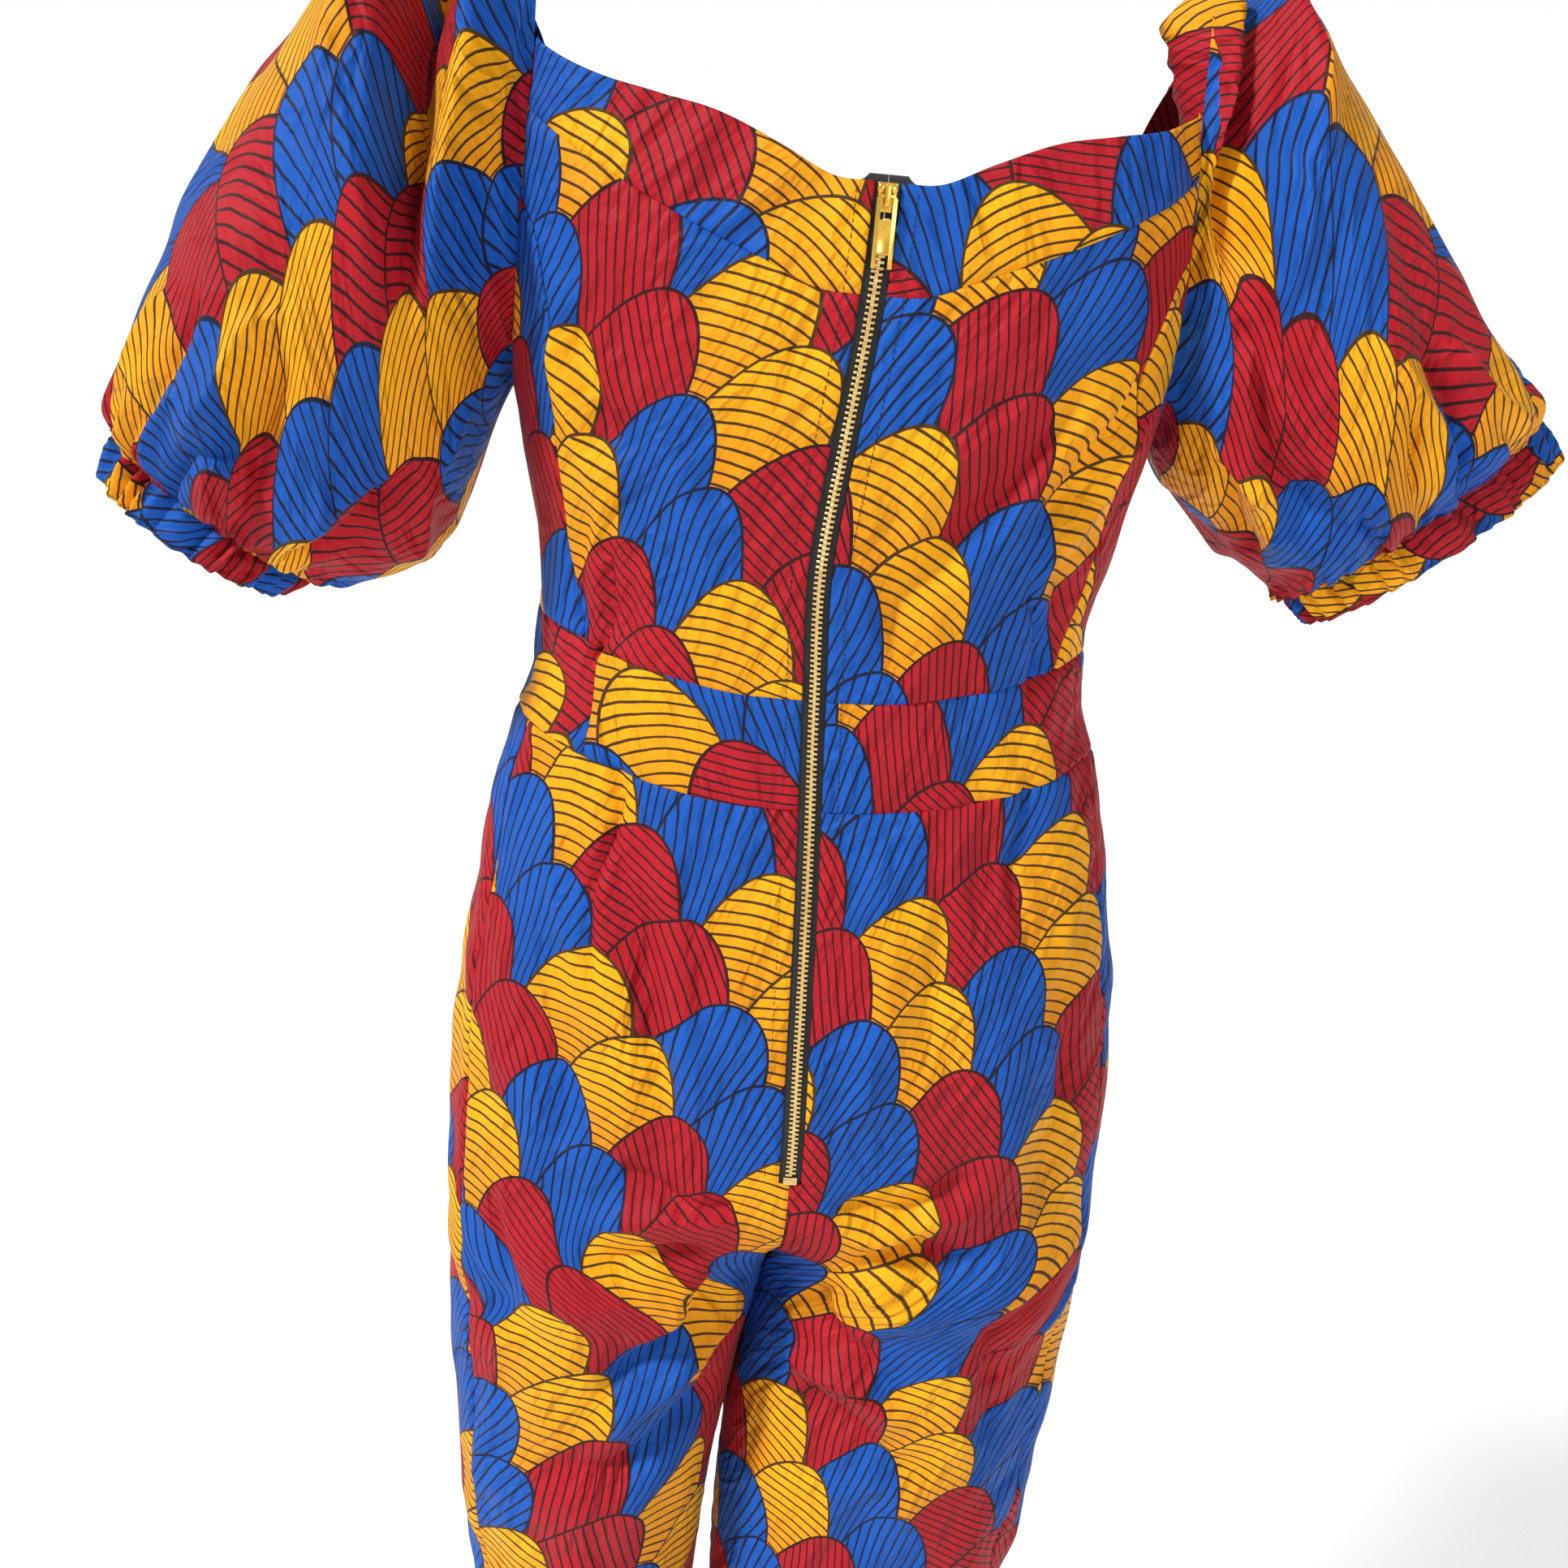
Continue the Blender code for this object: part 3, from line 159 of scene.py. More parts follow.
# Creases that the solids leave out, in the same columns; the narrowest are the darts
bodyCreases = {
    left: [
        (136, -60, 100, -130, 6, -3.4), (142, -70, 112, -160, 7, 3),
        (100, -70, 35, -196, 7, -2.6), (75, -85, 30, -170, 6, 1.6),
        (98, -140, 85, -225, 7, -2.2), (126, -150, 118, -230, 7, -2.4),
        (52, -300, 40, -440, 7, -2.2), (84, -296, 58, -517, 8, -3.4),
        (132, -300, 128, -420, 9, 2.4), (147, -400, 120, -500, 9, -2.8),
        (18, -505, 102, -500, 7, -4.6), (12, -530, 110, -560, 8, -6),
        (12, -516, 115, -530, 7, 4), (14, -560, 140, -630, 8, -6), (14, -545, 130, -594, 7, 4.4),
        (41, -640, 150, -700, 10, -5.6), (160, -520, 199, -614, 9, -3.6),
        (109, -270, 100, -407, 3, -3), (112, -240, 108, -155, 3, -2.6),
        (36, -600, 130, -666, 9, 4)],
    right: [
        (140, -60, 98, -150, 6, -3.4), (146, -78, 112, -190, 8, 3),
        (109, -68, 34, -228, 7, -2.8), (90, -75, 24, -185, 6, 1.8),
        (20, -130, 34, -220, 6, -1.6), (128, -150, 116, -230, 7, -2.4),
        (60, -305, 66, -430, 8, -2.4), (34, -330, 42, -470, 7, 1.8),
        (148, -400, 165, -520, 10, -3.6), (16, -508, 105, -490, 7, -4.6),
        (14, -522, 110, -512, 7, 4), (12, -535, 120, -545, 8, -6), (14, -555, 130, -585, 7, 4.4),
        (14, -575, 140, -625, 8, -6), (55, -642, 165, -680, 10, -5.6),
        (112, -265, 121, -362, 3, -3), (112, -240, 108, -155, 3, -2.6),
        (50, -605, 140, -655, 9, 4), (150, -560, 190, -680, 9, -3.6)]}

# Folds of the sleeves, as in the solids: from and to, as degrees round the sleeve (0 under the
# arm, 90 at the back, 180 on top) and thousandths of its length, then half width and lift in
# millimetres
sleeveFolds = {
    left: [
        (205, 165, 95, 175, 10, -25), (190, 100, 70, 105, 11, 6), (180, 255, 95, 265, 16, 5),
        (130, 450, 95, 900, 16, 6), (110, 420, 70, 880, 12, -8), (60, 350, 30, 850, 13, -7),
        (215, 300, 230, 850, 16, -7), (270, 250, 285, 800, 18, 6)],
    right: [
        (190, 130, 105, 140, 10, -15), (180, 215, 90, 225, 14, 6), (75, 100, 48, 800, 12, -9),
        (55, 80, 28, 720, 11, 5), (125, 400, 100, 920, 14, -7), (150, 450, 140, 900, 14, 6),
        (220, 300, 235, 850, 16, -7), (275, 250, 290, 800, 18, 5)]}
sleeveCreases = {
    left: [
        (185, 250, 66, 268, 9, -36), (165, 180, 58, 160, 13, 12), (150, 110, 50, 85, 7, -7),
        (150, 330, 78, 345, 10, 5), (94, 500, 108, 840, 7, 6), (84, 540, 98, 860, 7, -6),
        (122, 600, 128, 950, 6, -5), (140, 660, 144, 950, 6, 4), (100, 800, 98, 980, 5, -6),
        (111, 760, 112, 980, 4, 4.5), (88, 780, 84, 980, 5, 5), (78, 700, 70, 980, 5, -6),
        (64, 620, 54, 960, 6, 5), (50, 400, 46, 940, 7, -6), (175, 400, 168, 700, 8, 3.5),
        (190, 550, 196, 950, 6, -5), (30, 200, 22, 700, 8, 4), (245, 350, 258, 940, 7, -5.5),
        (268, 550, 274, 960, 6, 4.5), (300, 300, 310, 900, 8, -5.5), (332, 250, 338, 800, 8, 4)],
    right: [
        (168, 125, 72, 158, 8, -28), (165, 55, 82, 80, 9, 11), (165, 190, 108, 186, 6, 7),
        (110, 210, 74, 230, 7, 5), (64, 30, 30, 110, 6, -7), (62, 130, 48, 740, 7, -8),
        (72, 160, 60, 660, 6, 5), (48, 180, 36, 540, 6, 5), (165, 400, 150, 920, 7, -5.5),
        (100, 460, 90, 940, 6, 5), (112, 560, 104, 970, 6, -6), (92, 600, 80, 970, 5, -6.5),
        (78, 660, 68, 970, 5, 5.5), (66, 720, 58, 970, 5, -5.5), (128, 620, 122, 960, 6, 4.5),
        (180, 550, 178, 950, 6, 4), (195, 500, 200, 940, 6, -5), (30, 250, 22, 700, 8, -5),
        (240, 300, 252, 900, 7, -5.5), (266, 500, 272, 950, 6, 4.5),
        (300, 300, 312, 880, 8, -5.5), (330, 220, 338, 800, 8, 4)]}

foldEnd = 0.35          # how high a fold is at its ends, as a share of its middle
creaseShape = dict(
    bends=((0.07, 1.3, 1), (0.02, 3.1, 2)),     # as shares of its length, with turns and phase
    narrow=0.7, widen=0.6, edge=0.12, power=1.4, rise=0.25, fall=0.3, start=0.1)
# Where the body's cloth can't fold: beside its centre seams and round the armholes
stiff = dict(legs=0.02, legsBlend=0.03, blend=0.02, armhole=0.025, near=0.8, far=0.3)
# How the sleeve's parts fade out, as shares of its length, but under as an angle
fades = dict(foldEnd=0.06, looseStart=0.1, looseEnd=0.08, creaseStart=0.035, creaseEnd=0.03,
             fineStart=0.02, fineGathers=0.65, under=0.2)

# Soft waves: how high and how long, in metres
softWaves = {"body": (0.0027, (0.036, 0.047, 0.061, 0.083, 0.12)),
             "legs": (0.0040, (0.06, 0.08, 0.11, 0.15)), "sleeve": (0.0012, (0.05, 0.07, 0.10))}
legWaves = dict(blend=0.2, stretch=0.6)
creaseBoost = dict(all=1.6, body=1.3)
gathers = [
    dict(count=16, t=0.03, fade=0.10, height=0.0020, turn=0.3),
    dict(count=16, t=0.97, fade=0.11, height=0.0026, turn=0.0)]
fineGathers = dict(count=38, height=0.0030)
cuffRuches = dict(count=16, height=0.0013)


def ramp(value):
    value = np.clip(value, 0.0, 1.0)
    return value * value * (3 - 2 * value)


def sectionPoint(side, turn, z):
    half = np.where(turn < 0.5, turn * 2, 2 - turn * 2)
    share = np.where(turn < 0.5, ramp(half) / 2, 1 - ramp(half) / 2)
    power = 2 / bodyTable("squareness", z)
    width = bodyTable("halfWidth", z)
    depth = np.where(share < 0.5, bodyTable("backDepth", z), bodyTable("frontDepth", z))
    sine, cosine = np.abs(np.sin(np.pi * share)), np.cos(np.pi * share)
    centre = centreTable("x", z)
    near, lean, front = ramp(1 - share / centreReach), bodyTable("lean", z), frontSpread
    spread = ramp((z - front["z"]) / front["rise"])
    width = width + front["width"] * (spread * ramp((share - front["share"])
                                                    / front["shareRise"]))
    bodyX = side * width * sine ** power + centre * near + lean * (1 - near)
    bodyY = -np.sign(cosine) * depth * np.abs(cosine) ** power
    inner, outer = centre + side * centreTable("halfGap", z), side * width + lean
    legX = (inner + outer) / 2 - (outer - inner) / 2 * np.cos(2 * np.pi * share)
    legY = -depth * np.sin(2 * np.pi * share)
    leg = ramp((cut["crotchStartZ"] - z) / (cut["crotchStartZ"] - cut["crotchEndZ"]))
    y = (bodyY * (1 - leg) + legY * leg) * (1 + seatFullness * 4 * leg * (1 - leg))
    return bodyX * (1 - leg) + legX * leg, y


def metres(rows):
    return [tuple(value / 1000 for value in row) for row in rows]


# How far each point of a grid lies along one of its axes
def lengths(grid, axis):
    steps = np.linalg.norm(np.diff(grid, axis=axis), axis=-1)
    start = np.zeros_like(np.take(steps, [0], axis=axis))
    return np.concatenate([start, np.cumsum(steps, axis=axis)], axis=axis)


def foldHeight(fold, along, across):
    a0, z0, a1, z1, halfWidth, height = fold
    run = np.array([a1 - a0, z1 - z0])
    t = np.clip(((along - a0) * run[0] + (across - z0) * run[1]) / run.dot(run), 0, 1)
    distance = np.hypot(along - a0 - t * run[0], across - z0 - t * run[1])
    height = height * (foldEnd + (1 - foldEnd) * np.sin(np.pi * t))
    return height * np.exp(-(distance / halfWidth) ** 2)


# A crease is sharper than a fold and bends a little on its way
def creaseHeight(crease, along, across, seed):
    a0, z0, a1, z1, halfWidth, height = crease
    shape, run = creaseShape, np.array([a1 - a0, z1 - z0])
    length = np.hypot(*run)
    t = ((along - a0) * run[0] + (across - z0) * run[1]) / length ** 2
    off = ((along - a0) * run[1] - (across - z0) * run[0]) / length
    for share, turns, phase in shape["bends"]:
        off = off + share * length * np.sin(math.pi * t * turns + phase * seed)
    width = halfWidth * (shape["narrow"] + shape["widen"] * np.clip(t, 0, 1))
    near = np.sqrt(off ** 2 + (shape["edge"] * width) ** 2) / width
    height = creaseBoost["all"] * height * np.exp(-near ** shape["power"])
    height = height * ramp(t / shape["rise"] + shape["start"])
    return height * ramp((1 - t) / shape["fall"] + shape["start"])


# Soft waves in several directions, the same on every run; the numbers only scatter them
def waves(along, across, lengths, seed):
    total = 0.0
    for k, length in enumerate(lengths):
        angle = seed * 1.7 + k * 2.399
        run = (along * math.cos(angle) + across * math.sin(angle)) * 2 * math.pi / length
        turn = np.sin(run * 0.37 + seed + k)
        total = total + np.sin(run + 1.3 * turn + seed * 3.1 + k * 1.9)
    return total / len(lengths)


class HalfBody:
    heights = np.linspace(cut["hemZ"] - 0.01, 0.125, 320)
    turnSteps = np.linspace(0, 1, 241)
    shareSteps = np.linspace(0, 1, 201)
    seamHeights = np.linspace(-0.245, -0.010, 80)
    seamShares = None
    turnStep = 0.004        # to either side, which shows where the body faces
    keep = 0.6 * cut["seamGap"]     # how far the legs keep from the middle

    def __init__(self, side):
        self.side = side
        z, turns = np.meshgrid(self.heights, self.turnSteps, indexing="ij")
        x, y = sectionPoint(side, turns, z)
        arcs = lengths(np.stack([x, y], axis=-1), 1)
        self.girths = arcs[:, -1]
        self.turns = np.array([np.interp(self.shareSteps, row / row[-1], self.turnSteps)
                               for row in arcs])
        self.sides = np.array([np.interp(0.5, self.turnSteps, row / row[-1]) for row in arcs])

    def girth(self, z):
        return np.interp(z, self.heights, self.girths)

    def sideShare(self, z):
        return np.interp(z, self.heights, self.sides)

    def turn(self, share, z):
        row = np.interp(z, self.heights, np.arange(len(self.heights)))
        column = np.clip(share, 0, 1) * (len(self.shareSteps) - 1)
        i = np.minimum(row.astype(int), len(self.heights) - 2)
        j = np.minimum(column.astype(int), len(self.shareSteps) - 2)
        di, dj = row - i, column - j
        low = self.turns[i, j] * (1 - dj) + self.turns[i, j + 1] * dj
        high = self.turns[i + 1, j] * (1 - dj) + self.turns[i + 1, j + 1] * dj
        return low * (1 - di) + high * di

    # Where the seam behind the arm runs, as a share of the half girth
    def behind(self, z):
        if self.seamShares is None:
            turns = np.linspace(0, 0.5, 400)
            shares = []
            for height in self.seamHeights:
                x, y = sectionPoint(self.side, turns, np.full_like(turns, height))
                arc = lengths(np.stack([x, y], axis=-1), 0)
                place = np.interp(sideBackSeam(height), self.side * x, arc)
                shares.append(place / self.girth(height))
            self.seamShares = np.array(shares)
        return np.interp(z, self.seamHeights, self.seamShares)

    # How free the cloth is to fold: not on the centre seams or round the armhole
    def freedom(self, share, z):
        girth = self.girth(z)
        arc = share * girth
        legs = ramp((cut["crotchStartZ"] - z) / stiff["legsBlend"])
        margin = cut["tapeWidth"] + stiff["legs"] * legs
        blend, wide = stiff["blend"], stiff["armhole"]
        clear = ramp((arc - margin) / blend) * ramp((girth - margin - arc) / blend)
        fromSide = (share - self.sideShare(z)) * girth / (cut["armholeHalfGirth"] + wide)
        fromMiddle = (z - cut["armholeZ"]) / (cut["armholeHalfHeight"] + wide)
        return clear * ramp((np.hypot(fromSide, fromMiddle) - stiff["near"]) / stiff["far"])

    def folds(self, share, z):
        arc = share * self.girth(z)
        height = sum(foldHeight(fold, arc, z) for fold in metres(bodyFolds[self.side]))
        return height * self.freedom(share, z)

    def creases(self, share, z):
        arc = share * self.girth(z)
        height = creaseBoost["body"] * sum(creaseHeight(crease, arc, z, k) for k, crease
                                           in enumerate(metres(bodyCreases[self.side])))
        high, long = softWaves["body"]
        height = height + high * waves(arc, z, long, 1 + self.side)
        legs, (high, long) = ramp((cut["crotchStartZ"] - z) / legWaves["blend"]), softWaves["legs"]
        height = height + high * legs * waves(arc, legWaves["stretch"] * z, long, 5 + self.side)
        return height * self.freedom(share, z)

    def point(self, share, z, out=0.0):
        share, z = np.broadcast_arrays(np.asarray(share, float), np.asarray(z, float))
        turn = self.turn(share, z)
        x, y = sectionPoint(self.side, turn, z)
        x0, y0 = sectionPoint(self.side, np.clip(turn - self.turnStep, 0, 1), z)
        x1, y1 = sectionPoint(self.side, np.clip(turn + self.turnStep, 0, 1), z)
        length = np.hypot(x1 - x0, y1 - y0)
        normalX, normalY = self.side * (y1 - y0) / length, -self.side * (x1 - x0) / length
        lift = out + self.folds(share, z)
        x, y = x + normalX * lift, y + normalY * lift
        middle = centreTable("x", z)
        inner = middle + self.side * np.maximum(self.side * (x - middle), self.keep)
        return np.stack([np.where(z < cut["crotchStartZ"], inner, x), y, z], axis=-1)

    def armhole(self, angle):
        sine, cosine = np.sin(angle), np.cos(angle)
        power = cut["armholePower"]
        z = cut["armholeZ"] - cut["armholeHalfHeight"] * np.sign(cosine) * np.abs(cosine) ** power
        arc = cut["armholeHalfGirth"] * np.sign(sine) * np.abs(sine) ** power
        return self.sideShare(z) - arc / self.girth(z), z


bodies = {left: HalfBody(left), right: HalfBody(right)}


def armholeAngle(z):
    level = (cut["armholeZ"] - z) / cut["armholeHalfHeight"]
    return math.acos(math.copysign(abs(level) ** (1 / cut["armholePower"]), level))


def sleevePoint(side, angle, t, out=0.0):
    table, body = sleeveTables[side], bodies[side]
    top = np.stack([table("topX", t), table("topZ", t)], axis=-1)
    low = np.stack([table("lowX", t), table("lowZ", t)], axis=-1)
    middle, half = (top + low) / 2, (top - low) / 2
    halfLength, depth = np.linalg.norm(half, axis=-1), table("halfDepth", t)
    sine, cosine = np.sin(angle), np.cos(angle)
    lift = sleeveLift(side, angle, t) + out
    creased = sleeveCrease(side, angle, t)
    reach = 1 + (lift + creased) / np.hypot(halfLength * cosine, depth * sine)
    ring = np.stack([side * (middle[..., 0] - half[..., 0] * cosine * reach),
                     -depth * sine * reach,
                     middle[..., 1] - half[..., 1] * cosine * reach], axis=-1)
    share, z = body.armhole(angle)
    seam = body.point(share, z, cut["sleeveStep"] + out + creased)
    blend = ramp(t / cut["sleeveBlend"])[..., None]
    return seam * (1 - blend) + ring * blend


# A row of the sleeves' tables as metres round and along the sleeve
def onSleeve(row):
    start, t0, end, t1, halfWidth, height = row
    radius, length = cut["sleeveRadius"], cut["sleeveLength"]
    return (math.radians(start) * radius, t0 / 1000 * length, math.radians(end) * radius,
            t1 / 1000 * length, halfWidth / 1000, height / 1000)


# The creases fade out at both seams and under the arm
def sleeveCrease(side, angle, t):
    radius, length = cut["sleeveRadius"], cut["sleeveLength"]
    height = sum(creaseHeight(onSleeve(row), angle * radius, t * length, k)
                 for k, row in enumerate(sleeveCreases[side]))
    under = ramp(angle / fades["under"]) * ramp((2 * math.pi - angle) / fades["under"])
    return height * ramp(t / fades["creaseStart"]) * ramp((1 - t) / fades["creaseEnd"]) * under


def sleeveLift(side, angle, t):
    lift = np.zeros(np.broadcast(angle, t).shape)
    for k, gather in enumerate(gathers):
        wave = np.cos(gather["count"] * angle + gather["turn"] * side)
        # uneven gathers, with finer ones between them
        uneven = 0.75 + 0.35 * np.sin(3 * angle + k + side) + 0.25 * np.sin(7 * angle + 2 * k)
        fine = 0.8 * np.cos(2.0 * gather["count"] * angle + 2.2 * np.sin(2 * angle + side) + k)
        narrow = np.cos(fineGathers["count"] * angle + 2.5 * np.sin(3 * angle + 2 * side) + k)
        near = np.exp(-((t - gather["t"]) / gather["fade"]) ** 2)
        nearest = np.exp(-((t - gather["t"]) / (fades["fineGathers"] * gather["fade"])) ** 2)
        lift = lift + gather["height"] * (wave * uneven * near + fine * nearest)
        lift = lift + fineGathers["height"] * narrow * nearest * ramp(t / fades["fineStart"])
    sleeve = ramp((1 - t) / fades["foldEnd"])
    radius, length = cut["sleeveRadius"], cut["sleeveLength"]
    for row in sleeveFolds[side]:
        lift = lift + sleeve * foldHeight(onSleeve(row), angle * radius, t * length)
    turn = 2 * math.pi * radius
    loose = ramp(t / fades["looseStart"]) * ramp((1 - t) / fades["looseEnd"])
    seamless = 0.5 + 0.5 * np.cos(angle)
    high, long = softWaves["sleeve"]
    swell, other = (waves(angle * radius - start, t * length, long, 2 + side)
                    for start in (0.0, turn))
    blend = ramp(angle / (2 * math.pi))
    lift = lift + high * loose * (swell * (1 - blend) + other * blend) * (1 - 0.3 * seamless)
    return lift + cuffLift(angle, side) * ramp((t - 0.98) / 0.04)


def cuffLift(angle, side):
    wave = np.cos(cuffRuches["count"] * angle)
    fine = 1.6 * np.cos(fineGathers["count"] * angle + 2.5 * np.sin(3 * angle + side))
    fine = fine * (0.75 + 0.4 * np.sin(7 * angle + side))
    return cuffRuches["height"] * (wave * (0.8 + 0.4 * np.sin(5 * angle)) + fine)


def patch(leftEdge, rightEdge, foot, top, across, up):
    u, v = np.meshgrid(across, up, indexing="ij")
    corners = [foot(np.array(0.0)), foot(np.array(1.0)), top(np.array(0.0)), top(np.array(1.0))]
    result = []
    for k in range(2):
        ruled = ((1 - u) * leftEdge(v)[k] + u * rightEdge(v)[k]
                 + (1 - v) * foot(u)[k] + v * top(u)[k])
        c00, c10, c01, c11 = (corner[k] for corner in corners)
        flat = (1 - u) * (1 - v) * c00 + u * (1 - v) * c10 + (1 - u) * v * c01 + u * v * c11
        result.append(ruled - flat)
    return result


def edgeUp(shareAt, z0, z1):
    def edge(t):
        z = z0 + (z1 - z0) * t
        return shareAt(z), z
    return edge


def edgeAcross(zAt, share0, share1):
    def edge(t):
        share = share0 + (share1 - share0) * t
        return share, zAt(share)
    return edge


# Where an edge and a line of the cut cross, found by going from the one to the other
def crossing(shareAt, zAt):
    z = np.array(0.0)
    for _ in range(30):
        share = shareAt(z)
        z = zAt(share)
    return float(share), float(z)


def armholeCrossing(body, zAt, way):
    z = 0.03
    for _ in range(60):
        angle = way * armholeAngle(z)
        share, _ = body.armhole(np.array(angle))
        z = 0.5 * z + 0.5 * float(zAt(share))
    return angle, float(share)


def armholeEdge(body, angle0, angle1):
    return lambda t: body.armhole(angle0 + (angle1 - angle0) * t)


def joinedEdge(first, second, share):
    def edge(t):
        a, b = first(np.clip(t / share, 0, 1)), second(np.clip((t - share) / (1 - share), 0, 1))
        return tuple(np.where(t <= share, a[k], b[k]) for k in range(2))
    return edge


def slotShare(body):
    return lambda z: cut["zipSlot"] / 2 / body.girth(z)


def constant(value):
    return lambda at: np.full_like(at, value)


# The middle of the front between two lines of the cut
def centreEdge(low, high):
    return edgeUp(constant(1.0), float(low(1.0)), float(high(1.0)))


def beforeShare(body):
    return lambda z: 2 * body.sideShare(z) - body.behind(z)


# Places along an edge, close together at both ends, where the cloth dips into its seams
closeRows = np.array([0.0007, 0.0015, 0.0025, 0.0040])


def spaced(length, step, ends=(True, True)):
    start = closeRows if ends[0] else np.array([])
    finish = length - closeRows[::-1] if ends[1] else np.array([])
    first = start[-1] if ends[0] else 0.0
    last = finish[0] if ends[1] else length
    count = max(2, int(round((last - first) / step)))
    middle = np.linspace(first, last, count + 1)
    places = np.concatenate([[0.0], start, middle, finish, [length]])
    return np.unique(np.round(places, 7)) / length


def edgeLength(body, edge):
    share, z = edge(np.linspace(0, 1, 40))
    return float(lengths(body.point(share, z), 0)[-1])


# Edges of a panel: a ditch, the ridge beside it and small puckers along it, in metres
edgeShapes = {
    "seam": dict(deep=0.0008, width=0.0015, ridge=0.0003, pucker=0.00055, fade=0.011),
    "fold": dict(deep=0.0006, width=0.0009, ridge=0.0, pucker=0.00030, fade=0.012)}
ridge = dict(place=0.0055, width=0.004)
puckers = dict(length=0.0125, drift=0.043, swell=0.087, clear=0.002)


def edgeLift(grid, kinds, seed):
    across, up = lengths(grid, 0), lengths(grid, 1)
    distances = (across, across[-1:] - across, up, up[:, -1:] - up)
    lift = np.zeros(grid.shape[:2])
    for k, (kind, distance, run) in enumerate(zip(kinds.split(), distances,
                                                  (up, up, across, across))):
        if kind == "none":
            continue
        shape, turns = edgeShapes[kind], 2 * np.pi * run
        drift = 1.6 * np.sin(turns / puckers["drift"] + k + seed)
        wave = np.sin(turns / puckers["length"] + drift)
        wave = wave * (0.6 + 0.5 * np.sin(turns / puckers["swell"] + 2 * k + seed))
        if kind == "seam":
            wave = wave * ramp(distance / puckers["clear"])
        lift = lift - shape["deep"] * np.exp(-(distance / shape["width"]) ** 2)
        lift = lift + shape["ridge"] * np.exp(-((distance - ridge["place"]) / ridge["width"]) ** 2)
        lift = lift + shape["pucker"] * wave * np.exp(-distance / shape["fade"])
    return lift


# How the print lies on each panel, so that it is broken at every seam as in cut cloth: degrees
# and metres
lays = {
    "yokeBackLeft": (34, 0.11, 0.05), "yokeBackRight": (-28, 0.03, 0.09),
    "yokeFront": (8, 0.07, 0.02), "bodiceBackLeft": (22, 0.02, 0.04),
    "bodiceBackRight": (22, 0.055, 0.01), "bodiceSideLeft": (14, 0.09, 0.07),
    "bodiceSideRight": (30, 0.04, 0.02), "bodiceFront": (10, 0.05, 0),
    "waistbandBackLeft": (-12, 0.03, 0.02), "waistbandBackRight": (18, 0.08, 0.05),
    "waistbandFront": (6, 0.02, 0.06), "trouserBackLeft": (16, 0.065, 0.03),
    "trouserBackRight": (24, 0.01, 0.06), "trouserFrontLeft": (18, 0.04, 0.08),
    "trouserFrontRight": (20, 0.09, 0.02), "sleeveLeft": (58, 0.03, 0.05),
    "sleeveRight": (66, 0.46, 0.31), "cuffLeft": (60, 0.02, 0.03),
    "cuffRight": (-50, 0.05, 0.08)}


def laid(name, u, v):
    turn, shiftU, shiftV = lays[name]
    angle = math.radians(turn)
    return np.stack([u * math.cos(angle) - v * math.sin(angle) + shiftU,
                     u * math.sin(angle) + v * math.cos(angle) + shiftV], axis=-1)


def newMesh(name, points, faces):
    mesh = bpy.data.meshes.new(name)
    mesh.from_pydata(np.array(points).reshape(-1, 3).tolist(), [], faces)
    return mesh


def gridMesh(name, grid, cutPlaces, flip):
    columns, rows = grid.shape[:2]
    index = np.arange(columns * rows).reshape(columns, rows)
    faces = np.stack([index[:-1, :-1], index[1:, :-1], index[1:, 1:], index[:-1, 1:]], axis=-1)
    faces = faces.reshape(-1, 4)
    if flip:
        faces = faces[:, ::-1]
    mesh = newMesh(name, grid, faces.tolist())
    layer = mesh.uv_layers.new(name="cut")
    flat = cutPlaces.reshape(-1, 2)[faces.ravel()]
    layer.data.foreach_set("uv", flat.astype(np.float32).ravel())
    mesh.shade_smooth()
    return mesh


cloth = dict(
    thickness=0.0006,   # one layer of light cotton with its turned edges
    bodyStep=0.0030,    # spacing of the faces on the body
    bandStep=0.0020,    # on the narrow bands
    legStep=0.0065,     # and on the legs
    legZ=-0.72, legBlend=0.1,   # where the rows go over from the legs' spacing, and how fast
    edgeClear=0.006)    # how far the other rows keep from an edge
frontOrigin = 0.2       # from where the print is measured on the sides and fronts
slitRow = 0.0006        # how near a row of faces lies to the end of the zip's slit
bandSeamAt = 0.9        # how far the left seam is on the way from the zip to the side panel
# About how long the panels are, for the number of their rows and of the trousers' columns
panelLengths = dict(yoke=0.05, bodice=0.2, side=0.16, band=0.055, back=0.2, front=0.28)


def sideWord(side):
    return sideNames[side].capitalize()


# A piece's CAD node has the same name in its own spelling
def nodeName(name):
    return "".join("_" + letter.lower() if letter.isupper() else letter for letter in name)


def placed(name, data):
    item = bpy.data.objects.new(name, data)
    scene.collection.objects.link(item)
    return item


# A panel of cloth as a thin shell on its solid's outer face
def clothPiece(name, grid, cutPlaces, flip, material,
               thickness=cloth["thickness"]):
    mesh = gridMesh(name, grid, cutPlaces, flip)
    piece = placed(name, mesh)
    shell = piece.modifiers.new("thickness", "SOLIDIFY")
    shell.thickness, shell.offset = thickness, -1.0
    mesh.materials.append(material)
    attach(piece, "garment")
    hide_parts(nodeName(name))
    across, up = lengths(grid, 0)[-1].max(), lengths(grid, 1)[:, -1].max()
    return piece


